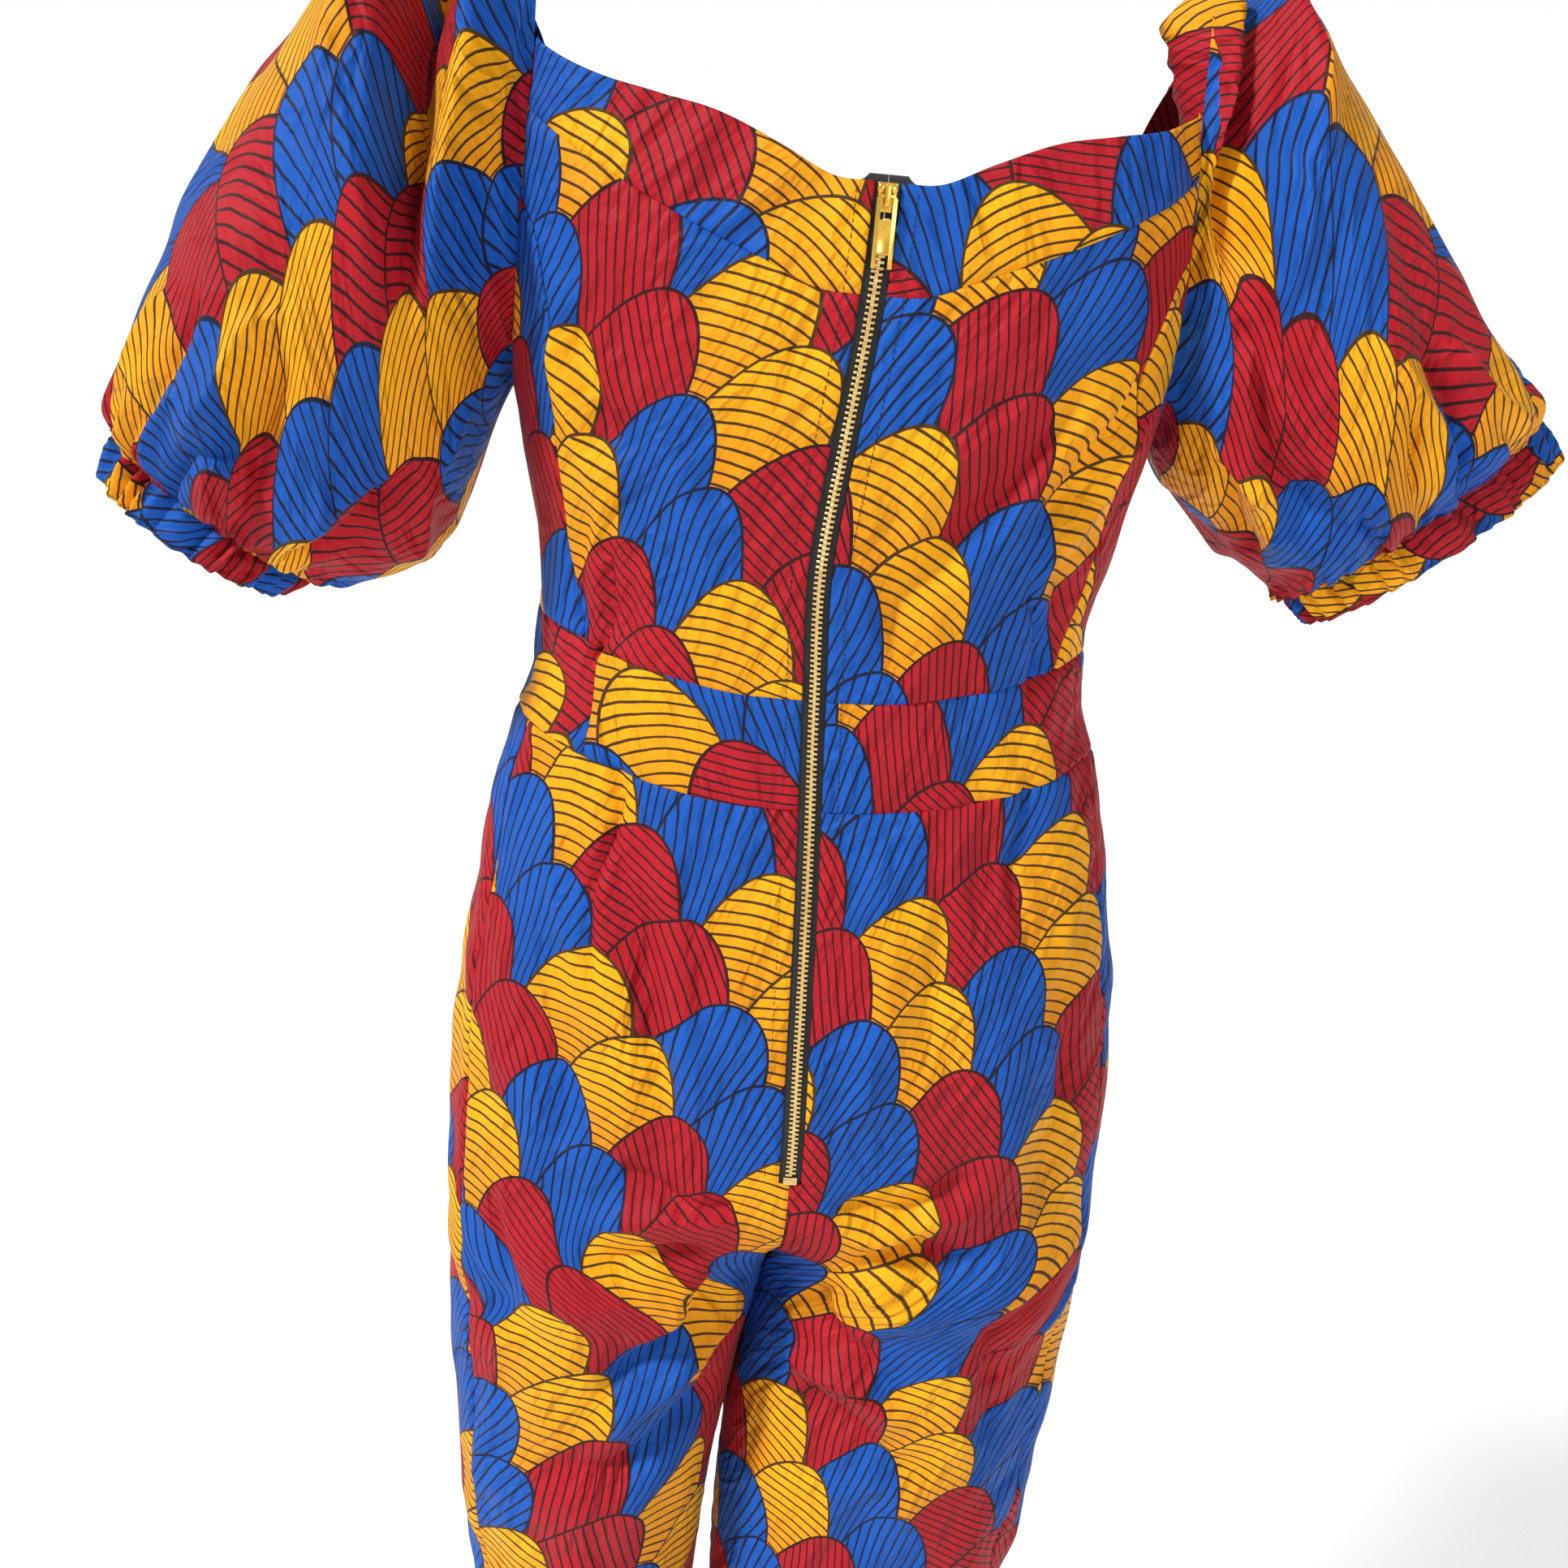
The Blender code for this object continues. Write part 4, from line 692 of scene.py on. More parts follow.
# A panel on one side of the body, within four edges: near the back's middle, far from it, foot
# and top
def panelPiece(name, side, edges, up, kinds, material, seed, origin=0.0, across=None):
    body, name = bodies[side], name + sideWord(side)
    if across is None:
        across = spaced(edgeLength(body, edges[2]), cloth["bodyStep"])
    share, z = patch(*edges, across, up)
    lift = body.creases(share, z) + edgeLift(body.point(share, z), kinds, seed + side)
    places = laid(name, side * (share * body.girth(z) - origin), z)
    clothPiece(name, body.point(share, z, lift), places, side == left, material)


# Two halves of a grid as one, with the column on the front's middle once
def joined(halves):
    return np.concatenate([halves[right], halves[left][::-1][1:]])


# A panel across the whole front
def widePiece(name, edges, up, kinds, material, seed):
    places, parts, arcs = {}, {}, {}
    for side, body in bodies.items():
        across = spaced(edgeLength(body, edges[side][2]), cloth["bodyStep"], (True, False))
        share, z = places[side] = patch(*edges[side], across, up)
        parts[side] = body.point(share, z)
        arcs[side] = side * (share - 1) * body.girth(z)
    lift = edgeLift(joined(parts), kinds, seed)
    count = len(parts[right])
    lifts = {right: lift[:count], left: lift[count - 1:][::-1]}
    grid = joined({side: body.point(*places[side], lifts[side] + body.creases(*places[side]))
                   for side, body in bodies.items()})
    heights = joined({side: z for side, (_, z) in places.items()})
    clothPiece(name, grid, laid(name, joined(arcs), heights), False, material)


def bodyRows(low, high):
    heights, clear = [low], cloth["edgeClear"]
    while heights[-1] < high:
        share = ramp((heights[-1] - cloth["legZ"]) / cloth["legBlend"])
        heights.append(heights[-1] + cloth["legStep"] * (1 - share) + cloth["bodyStep"] * share)
    heights = np.array(heights[1:-1])
    heights = heights[(heights > low + clear) & (heights < high - clear)]
    heights = np.concatenate([[low], low + closeRows, heights, high - closeRows[::-1], [high]])
    return (heights - low) / (high - low)


def buildYokes(material):
    print("scene: yokes")
    front, rows = {}, spaced(panelLengths["yoke"], cloth["bandStep"])
    tables = (yokeSeam, yokeTop)
    for side, body in bodies.items():
        slot = slotShare(body)
        (seamStart, seamZ), (topStart, topZ) = (crossing(slot, table) for table in tables)
        (low, lowShare), (high, highShare) = (armholeCrossing(body, table, 1) for table in tables)
        panelPiece("yokeBack", side, (
            edgeUp(slot, seamZ, topZ), armholeEdge(body, low, high),
            edgeAcross(yokeSeam, seamStart, lowShare), edgeAcross(yokeTop, topStart, highShare)),
            rows, "fold seam seam fold", material, 2)
        (low, lowShare), (high, highShare) = (armholeCrossing(body, table, -1) for table in tables)
        front[side] = (armholeEdge(body, low, high), centreEdge(*tables),
                       edgeAcross(yokeSeam, lowShare, 1.0), edgeAcross(yokeTop, highShare, 1.0))
    widePiece("yokeFront", front, rows, "seam seam seam fold", material, 5)


def buildBodice(material):
    print("scene: bodice")
    front, top = {}, cut["sidePanelTopZ"]
    rows, sideRows = (spaced(panelLengths[k], cloth["bodyStep"]) for k in ("bodice", "side"))
    angle = armholeAngle(top)
    for side, body in bodies.items():
        slot, behind, before = slotShare(body), body.behind, beforeShare(body)
        backAngle, backShare = armholeCrossing(body, yokeSeam, 1)
        waistShare, waistZ = crossing(behind, waistTop)
        slotPlace, slotZ = crossing(slot, waistTop)
        yokePlace, yokeZ = crossing(slot, yokeSeam)
        frontShare, frontZ = crossing(before, waistTop)
        frontAngle, yokeShare = armholeCrossing(body, yokeSeam, -1)
        outer = joinedEdge(edgeUp(behind, waistZ, top), armholeEdge(body, angle, backAngle),
                           cut["seamEnd"])
        panelPiece("bodiceBack", side, (
            edgeUp(slot, slotZ, yokeZ), outer, edgeAcross(waistTop, slotPlace, waistShare),
            edgeAcross(yokeSeam, yokePlace, backShare)), rows, "fold seam seam seam", material, 7)
        panelPiece("bodiceSide", side, (
            edgeUp(behind, waistZ, top), edgeUp(before, frontZ, top),
            edgeAcross(waistTop, waistShare, frontShare), armholeEdge(body, angle, -angle)),
            sideRows, "seam seam seam seam", material, 10, frontOrigin)
        inner = joinedEdge(edgeUp(before, frontZ, top), armholeEdge(body, -angle, frontAngle),
                           cut["seamEnd"])
        front[side] = (inner, centreEdge(waistTop, yokeSeam),
                       edgeAcross(waistTop, frontShare, 1.0), edgeAcross(yokeSeam, yokeShare, 1.0))
    widePiece("bodiceFront", front, rows, "seam seam seam seam", material, 13)


# Where the waistband is seamed: on the left just behind the side panel, on the right at the side
def bandSeamShare(side):
    if side == right:
        return cut["sideSeam"]
    body = bodies[side]
    slotPlace = crossing(slotShare(body), waistTop)[0]
    return slotPlace + bandSeamAt * (crossing(body.behind, waistTop)[0] - slotPlace)


def buildWaistband(material):
    print("scene: waistband")
    front, rows = {}, spaced(panelLengths["band"], cloth["bandStep"])
    tables = (waistFoot, waistTop)
    for side, body in bodies.items():
        slot, seamShare = slotShare(body), bandSeamShare(side)
        seam = edgeUp(constant(seamShare), *(float(table(seamShare)) for table in tables))
        (lowShare, lowZ), (highShare, highZ) = (crossing(slot, table) for table in tables)
        panelPiece("waistbandBack", side, (
            edgeUp(slot, lowZ, highZ), seam, edgeAcross(waistFoot, lowShare, seamShare),
            edgeAcross(waistTop, highShare, seamShare)), rows, "fold seam seam seam", material, 16)
        front[side] = (seam, centreEdge(*tables),
                       *(edgeAcross(table, seamShare, 1.0) for table in tables))
    widePiece("waistbandFront", front, rows, "seam seam seam seam", material, 19)


def buildTrousers(material):
    print("scene: trousers")
    hemZ, sideSeam, zipEnd = cut["hemZ"], cut["sideSeam"], cut["zipEndZ"]
    hem, sideZ = constant(hemZ), float(waistFoot(sideSeam))
    back, front = (spaced(panelLengths[k], cloth["bodyStep"]) for k in ("back", "front"))
    for side, body in bodies.items():
        slot = slotShare(body)
        share, top = crossing(slot, waistFoot)
        # one row on each side of the end of the zip's slit
        rows = bodyRows(hemZ, top)
        height = top - hemZ
        ends = (np.array([-slitRow, slitRow]) + zipEnd - hemZ) / height
        rows = rows[(np.abs(rows * height + hemZ - zipEnd) > 2 * slitRow)]
        rows = np.sort(np.concatenate([rows, ends]))
        seam = edgeUp(constant(sideSeam), hemZ, sideZ)
        centre = edgeUp(lambda z: np.where(z > zipEnd, slot(z), 0.0), hemZ, top)
        panelPiece("trouserBack", side, (
            centre, seam, edgeAcross(hem, 0.0, sideSeam), edgeAcross(waistFoot, share, sideSeam)),
            rows, "seam seam fold seam", material, 22, across=back)
        panelPiece("trouserFront", side, (
            seam, edgeUp(constant(1.0), hemZ, float(waistFoot(1.0))),
            edgeAcross(hem, sideSeam, 1.0), edgeAcross(waistFoot, sideSeam, 1.0)),
            rows, "seam seam fold seam", material, 25, frontOrigin, front)


# Rings of cloth on the arm: where they start and end, metres between rows, how wide the flat
# cloth is and how much wider on the left, and the kind of the outer edge
rings = {
    "sleeve": dict(start=0.0, end=1.0, rowStep=0.0026, width=0.62, wider=0.03, edge="seam"),
    "cuff": dict(start=1.0, end=cut["cuffEndT"], rowStep=0.0015, width=0.52, wider=0.0,
                 edge="fold")}
ringColumns = 300
evenReach = dict(around=12, along=36)


# Spreads what the creases do to lengths over their neighbours, so that the print isn't sheared
def evened(values, reach, mode):
    weights = np.exp(-(np.arange(-2 * reach, 2 * reach + 1) / reach) ** 2)
    padded = np.pad(values, ((2 * reach, 2 * reach), (0, 0)), mode=mode)
    total = sum(weight * padded[k:k + len(values)] for k, weight in enumerate(weights))
    return total / weights.sum()


def buildSleeves(material):
    print("scene: sleeves and cuffs")
    turn = 2 * math.pi * cut["sleeveRadius"]
    angles = 2 * math.pi * spaced(turn, turn / ringColumns)
    for side in bodies:
        for part, ring in rings.items():
            name, reach = part + sideWord(side), ring["end"] - ring["start"]
            ts = ring["start"] + reach * spaced(reach * cut["sleeveLength"], ring["rowStep"])
            angle, t = np.meshgrid(angles, ts, indexing="ij")
            lift = edgeLift(sleevePoint(side, angle, t), "none none seam " + ring["edge"],
                            side + 30)
            grid = sleevePoint(side, angle, t, lift)
            # the cloth is as wide everywhere as at its fullest, and is pushed together by gathers
            around, down = lengths(grid, 0), lengths(grid, 1)
            width = ring["width"] - ring["wider"] * side
            around = evened((around / around[-1:] * width).T, evenReach["around"], "edge").T
            places = laid(name, around, evened(down, evenReach["along"], "wrap"))
            clothPiece(name, grid, places, side == right, material)


def zipPoint(side, distance, z, out=0.0):
    body = bodies[side]
    return body.point(distance / body.girth(z), z, out)


zipper = dict(
    tapeOut=-0.0015, tapeThick=0.0008, tapeTopZ=0.0025, tail=0.001, gap=0.0003, tapeRows=240,
    tapeInner=0.0062, tapeColumns=(0.009, 0.0122, 0.0155),
    tip=0.006, tipNarrow=0.45, rib=0.0007,
    pitch=0.00254, chainTopZ=-0.0150, chainEndZ=-0.4855,
    toothLength=0.0036, toothHeight=0.00142, toothThick=0.0018,
    toothOut=-0.0002,       # the middle of a tooth against the cloth's face
    toothPast=0.0009,       # how far it reaches over the zip's middle
    toothRounding=0.00028)


def buildTapes(material):
    print("scene: zip tapes")
    low, high = cut["zipEndZ"] - zipper["tail"], zipper["tapeTopZ"]
    heights = np.linspace(low, high, zipper["tapeRows"])
    for side in (left, right):
        inner = np.linspace(zipper["gap"], zipper["tapeInner"], 6)
        across = np.concatenate([inner, zipper["tapeColumns"]])
        x, z = np.meshgrid(across, heights, indexing="ij")
        # the ends above the neckline are turned under to a narrow tip
        shown = ramp((z - zipper["tapeTopZ"] + zipper["tip"]) / zipper["tip"])
        grid = zipPoint(side, x * (1 - zipper["tipNarrow"] * shown), z, zipper["tapeOut"])
        places = np.stack([side * x, z], axis=-1)
        clothPiece("zipTape" + sideWord(side), grid, places, side == left, material,
                   zipper["tapeThick"])


# Adds a node with its settings, its values and its links
def addNode(tree, kind, inputs=(), output=0, **settings):
    made = tree.nodes.new(kind)
    for key, value in settings.items():
        setattr(made, key, value)
    for key, value in dict(inputs).items():
        if isinstance(value, bpy.types.NodeSocket):
            tree.links.new(value, made.inputs[key])
        else:
            made.inputs[key].default_value = value
    return made.outputs[output]


# Nodes that work on sockets, in the tree of the first one
def work(kind, values, output=0, **settings):
    tree = next(value.id_data for value in values if isinstance(value, bpy.types.NodeSocket))
    return addNode(tree, "ShaderNode" + kind, enumerate(values), output, **settings)


def calc(operation, *values):
    return work("Math", values, operation=operation)


def vectors(operation, *values, output=0):
    return work("VectorMath", values, output, operation=operation)


def plus(*values):
    return calc("ADD", *values)


def minus(*values):
    return calc("SUBTRACT", *values)


def times(*values):
    return calc("MULTIPLY", *values)


def over(*values):
    return calc("DIVIDE", *values)


def timesPlus(*values):
    return calc("MULTIPLY_ADD", *values)


def combined(*values):
    return work("CombineXYZ", values)


def separated(place):
    return work("SeparateXYZ", (place,)).node.outputs


def titled(values):
    return {name.capitalize(): value for name, value in values.items()}


def noiseAt(vector, scale, output=0, **values):
    values = titled(dict(vector=vector, scale=scale, **values))
    return addNode(vector.id_data, "ShaderNodeTexNoise", values, output)


def bandsAt(vector, scale, direction, **values):
    values = titled(dict(vector=vector, scale=scale, **values))
    return addNode(vector.id_data, "ShaderNodeTexWave", values, 1, bands_direction=direction)


def bumped(strength, distance, height, **values):
    values = titled(dict(strength=strength, distance=distance, height=height, **values))
    return addNode(height.id_data, "ShaderNodeBump", values)


def mixed(share, first, second, kind="RGBA"):
    places = {"RGBA": (6, 7, 2), "VECTOR": (4, 5, 1), "FLOAT": (2, 3, 0)}[kind]
    return addNode(share.id_data, "ShaderNodeMix", {0: share, places[0]: first, places[1]: second},
                   places[2], data_type=kind)


def hexColour(code):
    channels = [int(code[i:i + 2], 16) / 255 for i in (1, 3, 5)]
    return [c / 12.92 if c <= 0.04045 else ((c + 0.055) / 1.055) ** 2.4 for c in channels] + [1.0]


def newMaterial(name):
    material = bpy.data.materials.new(name)
    material.use_nodes = True
    return material, material.node_tree, material.node_tree.nodes["Principled BSDF"]


def setShader(shader, **values):
    for key, value in values.items():
        name = {"colour": "Base Color", "roughness": "Roughness", "metallic": "Metallic",
                "normal": "Normal", "sheen": "Sheen Weight", "sheenRoughness": "Sheen Roughness",
                "specular": "Specular IOR Level", "glow": "Emission Strength",
                "glowColour": "Emission Color"}[key]
        if isinstance(value, bpy.types.NodeSocket):
            shader.id_data.links.new(value, shader.inputs[name])
        else:
            shader.inputs[name].default_value = value


# The print: rows of overlapping leaves, one row in front of the next, hatched in three ways
printed = dict(
    red="#B41422", blue="#0F55B4", yellow="#FAAE08", orange="#E87606", ink="#150D10",
    halfWidth=0.034,    # half the width of a leaf
    stretch=2.1,        # how much longer it is than wide
    outline=0.0015, hatchLine=0.00100, hatchStep=0.0048,
    drift=0.042, driftScale=5.0, wobble=0.005, wobbleScale=20.0,
    weave=0.0009)       # spacing of the threads as they show
bandShare = 0.314       # over a spacing in metres gives a wave texture's scale


def leafRow(x, y, firstRow, k):
    half, height = printed["halfWidth"], 0.5 * printed["halfWidth"] * printed["stretch"]
    row = plus(firstRow, float(k))
    parity = calc("FLOORED_MODULO", row, 2.0)
    across = over(x, half)
    across = minus(across, parity)
    column = timesPlus(calc("ROUND", times(across, 0.5)), 2.0, parity)
    dx = minus(x, times(column, half))
    dy = over(minus(y, times(row, height)), printed["stretch"])
    far = vectors("LENGTH", combined(dx, dy), output=1)
    return combined(dx, dy, far), combined(column, row), calc("LESS_THAN", far, half)


def printMaterial():
    print("scene: print")
    material, tree, shader = newMaterial("waxPrintedCotton")
    cutPlace = addNode(tree, "ShaderNodeUVMap", uv_map="cut")
    driven = cutPlace
    for scale, amount in ((printed["driftScale"], printed["drift"]),
                          (printed["wobbleScale"], printed["wobble"])):
        shift = vectors("SUBTRACT", noiseAt(cutPlace, scale, 1, detail=0.0), (0.5, 0.5, 0.5))
        driven = vectors("MULTIPLY_ADD", shift, (amount,) * 3, driven)
    x, y, _ = separated(driven)
    half, stretch = printed["halfWidth"], printed["stretch"]
    firstRow = calc("FLOOR", over(y, 0.5 * half * stretch))
    place, cell, _ = leafRow(x, y, firstRow, 2)
    for k in (1, 0, -1):
        nearPlace, nearCell, inside = leafRow(x, y, firstRow, k)
        place = mixed(inside, place, nearPlace, "VECTOR")
        cell = mixed(inside, cell, nearCell, "VECTOR")
    dx, dy, far = separated(place)
    column, row, _ = separated(cell)
    kind = plus(column, calc("FLOOR", times(row, 0.5)))
    kind = calc("FLOORED_MODULO", kind, 3.0)
    isBlue = calc("COMPARE", kind, 1.0, 0.1)
    isYellow = calc("COMPARE", kind, 2.0, 0.1)
    chance = addNode(tree, "ShaderNodeTexWhiteNoise", {"Vector": cell},
                     noise_dimensions="2D")
    # distances are measured in leaves that are squeezed to circles; steep gives real ones back
    flat = vectors("MULTIPLY", place, (1, 1 / stretch, 0))
    flat = vectors("LENGTH", flat, output=1)
    steep = over(flat, calc("MAXIMUM", far, 0.0001))
    toEdge = over(minus(half, far), steep)
    # straight slanting lines on red, a fan from the foot on blue, flat arcs on yellow
    slant = timesPlus(chance, 1.1, 0.3)
    rise = times(calc("SINE", slant), times(dy, stretch))
    lines = timesPlus(calc("COSINE", slant), dx, rise)
    fan = calc("ARCTAN2", dx, plus(dy, 1.35 * half))
    fan = times(fan, 1.7 * half)
    below = plus(dy, 1.1 * half)
    arcs = vectors("LENGTH", combined(dx, times(below, 1.7)), output=1)
    run = mixed(isBlue, lines, fan, "FLOAT")
    run = mixed(isYellow, run, arcs, "FLOAT")
    run = timesPlus(noiseAt(cutPlace, 90.0, detail=2.0), 0.0010, run)
    phase = calc("FRACT", over(run, printed["hatchStep"]))
    toLine = calc("ABSOLUTE", minus(phase, 0.5))
    toLine = times(toLine, printed["hatchStep"])
    width = timesPlus(noiseAt(cutPlace, 26.0), 0.9, 0.55)
    hatchHalf = times(width, printed["hatchLine"] / 2)
    hatch = minus(toLine, hatchHalf)
    outlineHalf = times(width, printed["outline"])
    outline = minus(toEdge, outlineHalf)
    nearest = calc("MINIMUM", hatch, outline)
    ink = addNode(tree, "ShaderNodeMapRange",
                  {"Value": nearest, "From Min": -0.00015, "From Max": 0.00020, "To Min": 0.94,
                   "To Max": 0.0}, interpolation_type="SMOOTHSTEP")
    # dye that took unevenly
    patchy = noiseAt(cutPlace, 13.0, detail=3.0, roughness=0.6)
    # each leaf is lighter at its tip
    grade = timesPlus(dy, 0.55 / half, 0.5)
    grade = calc("MINIMUM", calc("MAXIMUM", grade, 0.0), 1.0)
    golden = mixed(grade, hexColour(printed["orange"]), hexColour(printed["yellow"]))
    dye = mixed(isBlue, hexColour(printed["red"]), hexColour(printed["blue"]))
    dye = mixed(isYellow, dye, golden)
    depth = timesPlus(grade, 0.22, timesPlus(patchy, 0.4, 0.62))
    # the fine cracks of the wax
    cracks = addNode(tree, "ShaderNodeTexVoronoi",
                     {"Vector": driven, "Scale": 42.0}, feature="DISTANCE_TO_EDGE")
    crack = addNode(tree, "ShaderNodeMapRange",
                    {"Value": cracks, "From Min": 0.0, "From Max": 0.02, "To Min": 0.30,
                     "To Max": 0.0})
    crack = times(crack, calc("GREATER_THAN", patchy, 0.56))
    dye = vectors("MULTIPLY", dye, depth)
    inkColour = hexColour(printed["ink"])
    dye = mixed(crack, dye, inkColour)
    colour = mixed(ink, dye, inkColour)
    # plain weave and the small creases of worn cotton
    weave = None
    for direction in ("X", "Y"):
        thread = bandsAt(cutPlace, bandShare / printed["weave"], direction, distortion=0.6,
                         detail=1.0)
        weave = thread if weave is None else calc("MAXIMUM", weave, thread)
    drawn = addNode(tree, "ShaderNodeMapping", {"Vector": cutPlace, "Scale": (1.0, 0.4, 1.0)})
    wrinkles = noiseAt(drawn, 46.0, detail=3.0, roughness=0.5, distortion=0.8)
    crumple = noiseAt(drawn, 19.0, detail=3.0, roughness=0.5, distortion=1.2)
    crumple = calc("ABSOLUTE", minus(crumple, 0.5))
    wrinkles = timesPlus(crumple, -2.4, wrinkles)
    soft = bumped(1.0, 0.0075, wrinkles)
    fine = bumped(0.35, 0.00012, weave, normal=soft)
    rough = timesPlus(patchy, 0.14, 0.58)
    setShader(shader, colour=colour, roughness=rough, normal=fine, specular=0.22,
              sheen=0.04, sheenRoughness=0.4)
    return material


def tapeMaterial():
    material, tree, shader = newMaterial("blackZipTape")
    cutPlace = addNode(tree, "ShaderNodeUVMap", uv_map="cut")
    noise = noiseAt(cutPlace, 900.0)
    rib = bandsAt(cutPlace, bandShare / zipper["rib"], "DIAGONAL", distortion=0.4)
    colour = mixed(times(rib, noise), hexColour("#0C0B0E"), hexColour("#2A292E"))
    setShader(shader, colour=colour, roughness=0.78, normal=bumped(0.6, 0.0002, rib), sheen=0.2)
    return material


def metalMaterial(name, bright, dull, roughness):
    material, tree, shader = newMaterial(name)
    place = addNode(tree, "ShaderNodeTexCoord", output=3)
    noise = noiseAt(place, 260.0, detail=3.0)
    setShader(shader, colour=mixed(noise, hexColour(dull), hexColour(bright)), metallic=1.0,
              roughness=timesPlus(noise, 0.16, roughness), normal=bumped(0.2, 0.00006, noise))
    return material


def threadMaterial():
    material, tree, shader = newMaterial("darkThread")
    place = addNode(tree, "ShaderNodeTexCoord", output=3)
    twist = bandsAt(place, 900.0, "DIAGONAL")
    setShader(shader, colour=mixed(twist, hexColour("#0E0C12"), hexColour("#24202A")),
              roughness=0.6)
    return material


def floorMaterial():
    material, tree, shader = newMaterial("studioFloor")
    place = addNode(tree, "ShaderNodeTexCoord", output=3)
    colour = mixed(noiseAt(place, 1.5), hexColour("#B2B2B2"), hexColour("#B8B8B7"))
    # painted light: the grey floor glows, so that it shows as white as the backdrop and the shadow
    # cast on it is washed out
    setShader(shader, colour=colour, roughness=0.9, specular=0.1, glow=0.74,
              glowColour=(1, 1, 1, 1))
    return material


# Selects nothing but one object, which becomes the active one
def only(item):
    bpy.ops.object.select_all(action="DESELECT")
    item.select_set(True)
    bpy.context.view_layer.objects.active = item


# Rounds all the edges, or those whose ends the test chosen takes
def roundEdges(item, width, segments=2, chosen=None):
    only(item)
    bpy.ops.object.mode_set(mode="EDIT")
    bpy.ops.mesh.select_all(action="SELECT")
    if chosen:
        edit = bmesh.from_edit_mesh(item.data)
        for edge in edit.edges:
            edge.select_set(chosen(*(vertex.co for vertex in edge.verts)))
    bpy.ops.mesh.bevel(offset=width, segments=segments, affect="EDGES")
    bpy.ops.object.mode_set(mode="OBJECT")


def hardBox(name, low, high, rounding=0.0, segments=2):
    low, high = Vector(low), Vector(high)
    bpy.ops.object.select_all(action="DESELECT")
    bpy.ops.mesh.primitive_cube_add(size=1.0, location=(low + high) / 2)
    item = bpy.context.object
    item.name = name
    item.scale = high - low
    bpy.ops.object.transform_apply(location=True, rotation=True, scale=True)
    if rounding:
        roundEdges(item, rounding, segments)
    return item


def carve(item, other, operation):
    only(item)
    change = item.modifiers.new("carve", "BOOLEAN")
    change.object, change.operation, change.solver = other, operation, "EXACT"
    bpy.ops.object.modifier_apply(modifier=change.name)
    bpy.data.objects.remove(other, do_unlink=True)


def finishHard(item, bodyName, material, slotName, *nodes):
    item.data.materials.clear()
    item.data.materials.append(material)
    only(item)
    bpy.ops.object.shade_smooth_by_angle(angle=math.radians(35))
    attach(item, bodyName)
    if nodes:
        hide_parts(*nodes)
    return item


# Where the zip runs, and which way it faces there
def zipFrame(z):
    middle = (zipPoint(left, 0.0, z) + zipPoint(right, 0.0, z)) / 2
    above = (zipPoint(left, 0.0, z + 0.001) + zipPoint(right, 0.0, z + 0.001)) / 2
    along = (above - middle) / np.linalg.norm(above - middle)
    across = zipPoint(right, 0.004, z) - zipPoint(left, 0.004, z)
    across = across / np.linalg.norm(across)
    out = np.cross(across, along)
    return middle, across, out / np.linalg.norm(out), along


def buildTeeth(material):
    print("scene: zip teeth")
    length, height, thick = zipper["toothLength"], zipper["toothHeight"], zipper["toothThick"]
    start = -zipper["toothPast"]
    tooth = hardBox("toothShape", (start, -thick / 2, -height / 2),
                    (length + start, thick / 2, height / 2), zipper["toothRounding"], 1)
    shape = np.array([vertex.co[:] for vertex in tooth.data.vertices])
    faces = [list(face.vertices) for face in tooth.data.polygons]
    bpy.data.objects.remove(tooth, do_unlink=True)
    points, allFaces = [], []
    count = int((zipper["chainTopZ"] - zipper["chainEndZ"]) / zipper["pitch"] * 2)
    for k in range(count):
        z = zipper["chainEndZ"] + height / 2 + k * zipper["pitch"] / 2
        side = right if k % 2 else left
        middle, across, out, along = zipFrame(z)
        # teeth lie square across the zip, on one side and the other in turn
        x = shape[:, :1] * side
        place = (middle + x * across + (zipper["toothOut"] + shape[:, 1:2]) * out
                 + shape[:, 2:] * along)
        first = len(points) * len(shape)
        points.append(place)
        turned = faces if side == right else [face[::-1] for face in faces]
        allFaces += [[first + i for i in face] for face in turned]
    item = placed("zipTeeth", newMesh("zipTeeth", points, allFaces))
    return finishHard(item, "garment", material, "zip_metal", "zip_chain")


past = 0.001            # how far a cutting box passes the metal
stopFacts = dict(rounding=0.0005, grooves=2, grooveHalf=0.00018, grooveDepth=0.00035)


def buildStop(material):
    facts = stopFacts
    low, high = (Vector(corner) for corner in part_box("zip_bottom_stop"))
    stop, half = hardBox("zipBottomStop", low, high, facts["rounding"], 3), facts["grooveHalf"]
    part = (high.z - low.z) / (facts["grooves"] + 1)
    for k in range(facts["grooves"]):
        z = low.z + (k + 1) * part
        groove = hardBox("groove", (low.x - past, low.y - past, z - half),
                         (high.x + past, low.y + facts["grooveDepth"], z + half))
        carve(stop, groove, "DIFFERENCE")
    return finishHard(stop, "garment", material, "zip_metal", "zip_bottom_stop")


sliderFacts = dict(
    narrow=0.78,        # its foot against its top
    rounding=0.0007, bridgeRounding=0.0006, slotRounding=0.0003,
    bridgeHeight=0.0034, bridgeWidth=0.0026, bridgeLength=0.0092, bridgeBar=0.0010,
    slotHalf=0.003, slotEnd=1.6,    # the bars at the slot's ends against the one over it
    pinZ=-0.0068, shoulder=0.0023, shoulderScale=(1.0, 0.62, 1.1),
    shoulderAside=0.0024, shoulderSunk=0.0006, shoulderDown=0.0026)


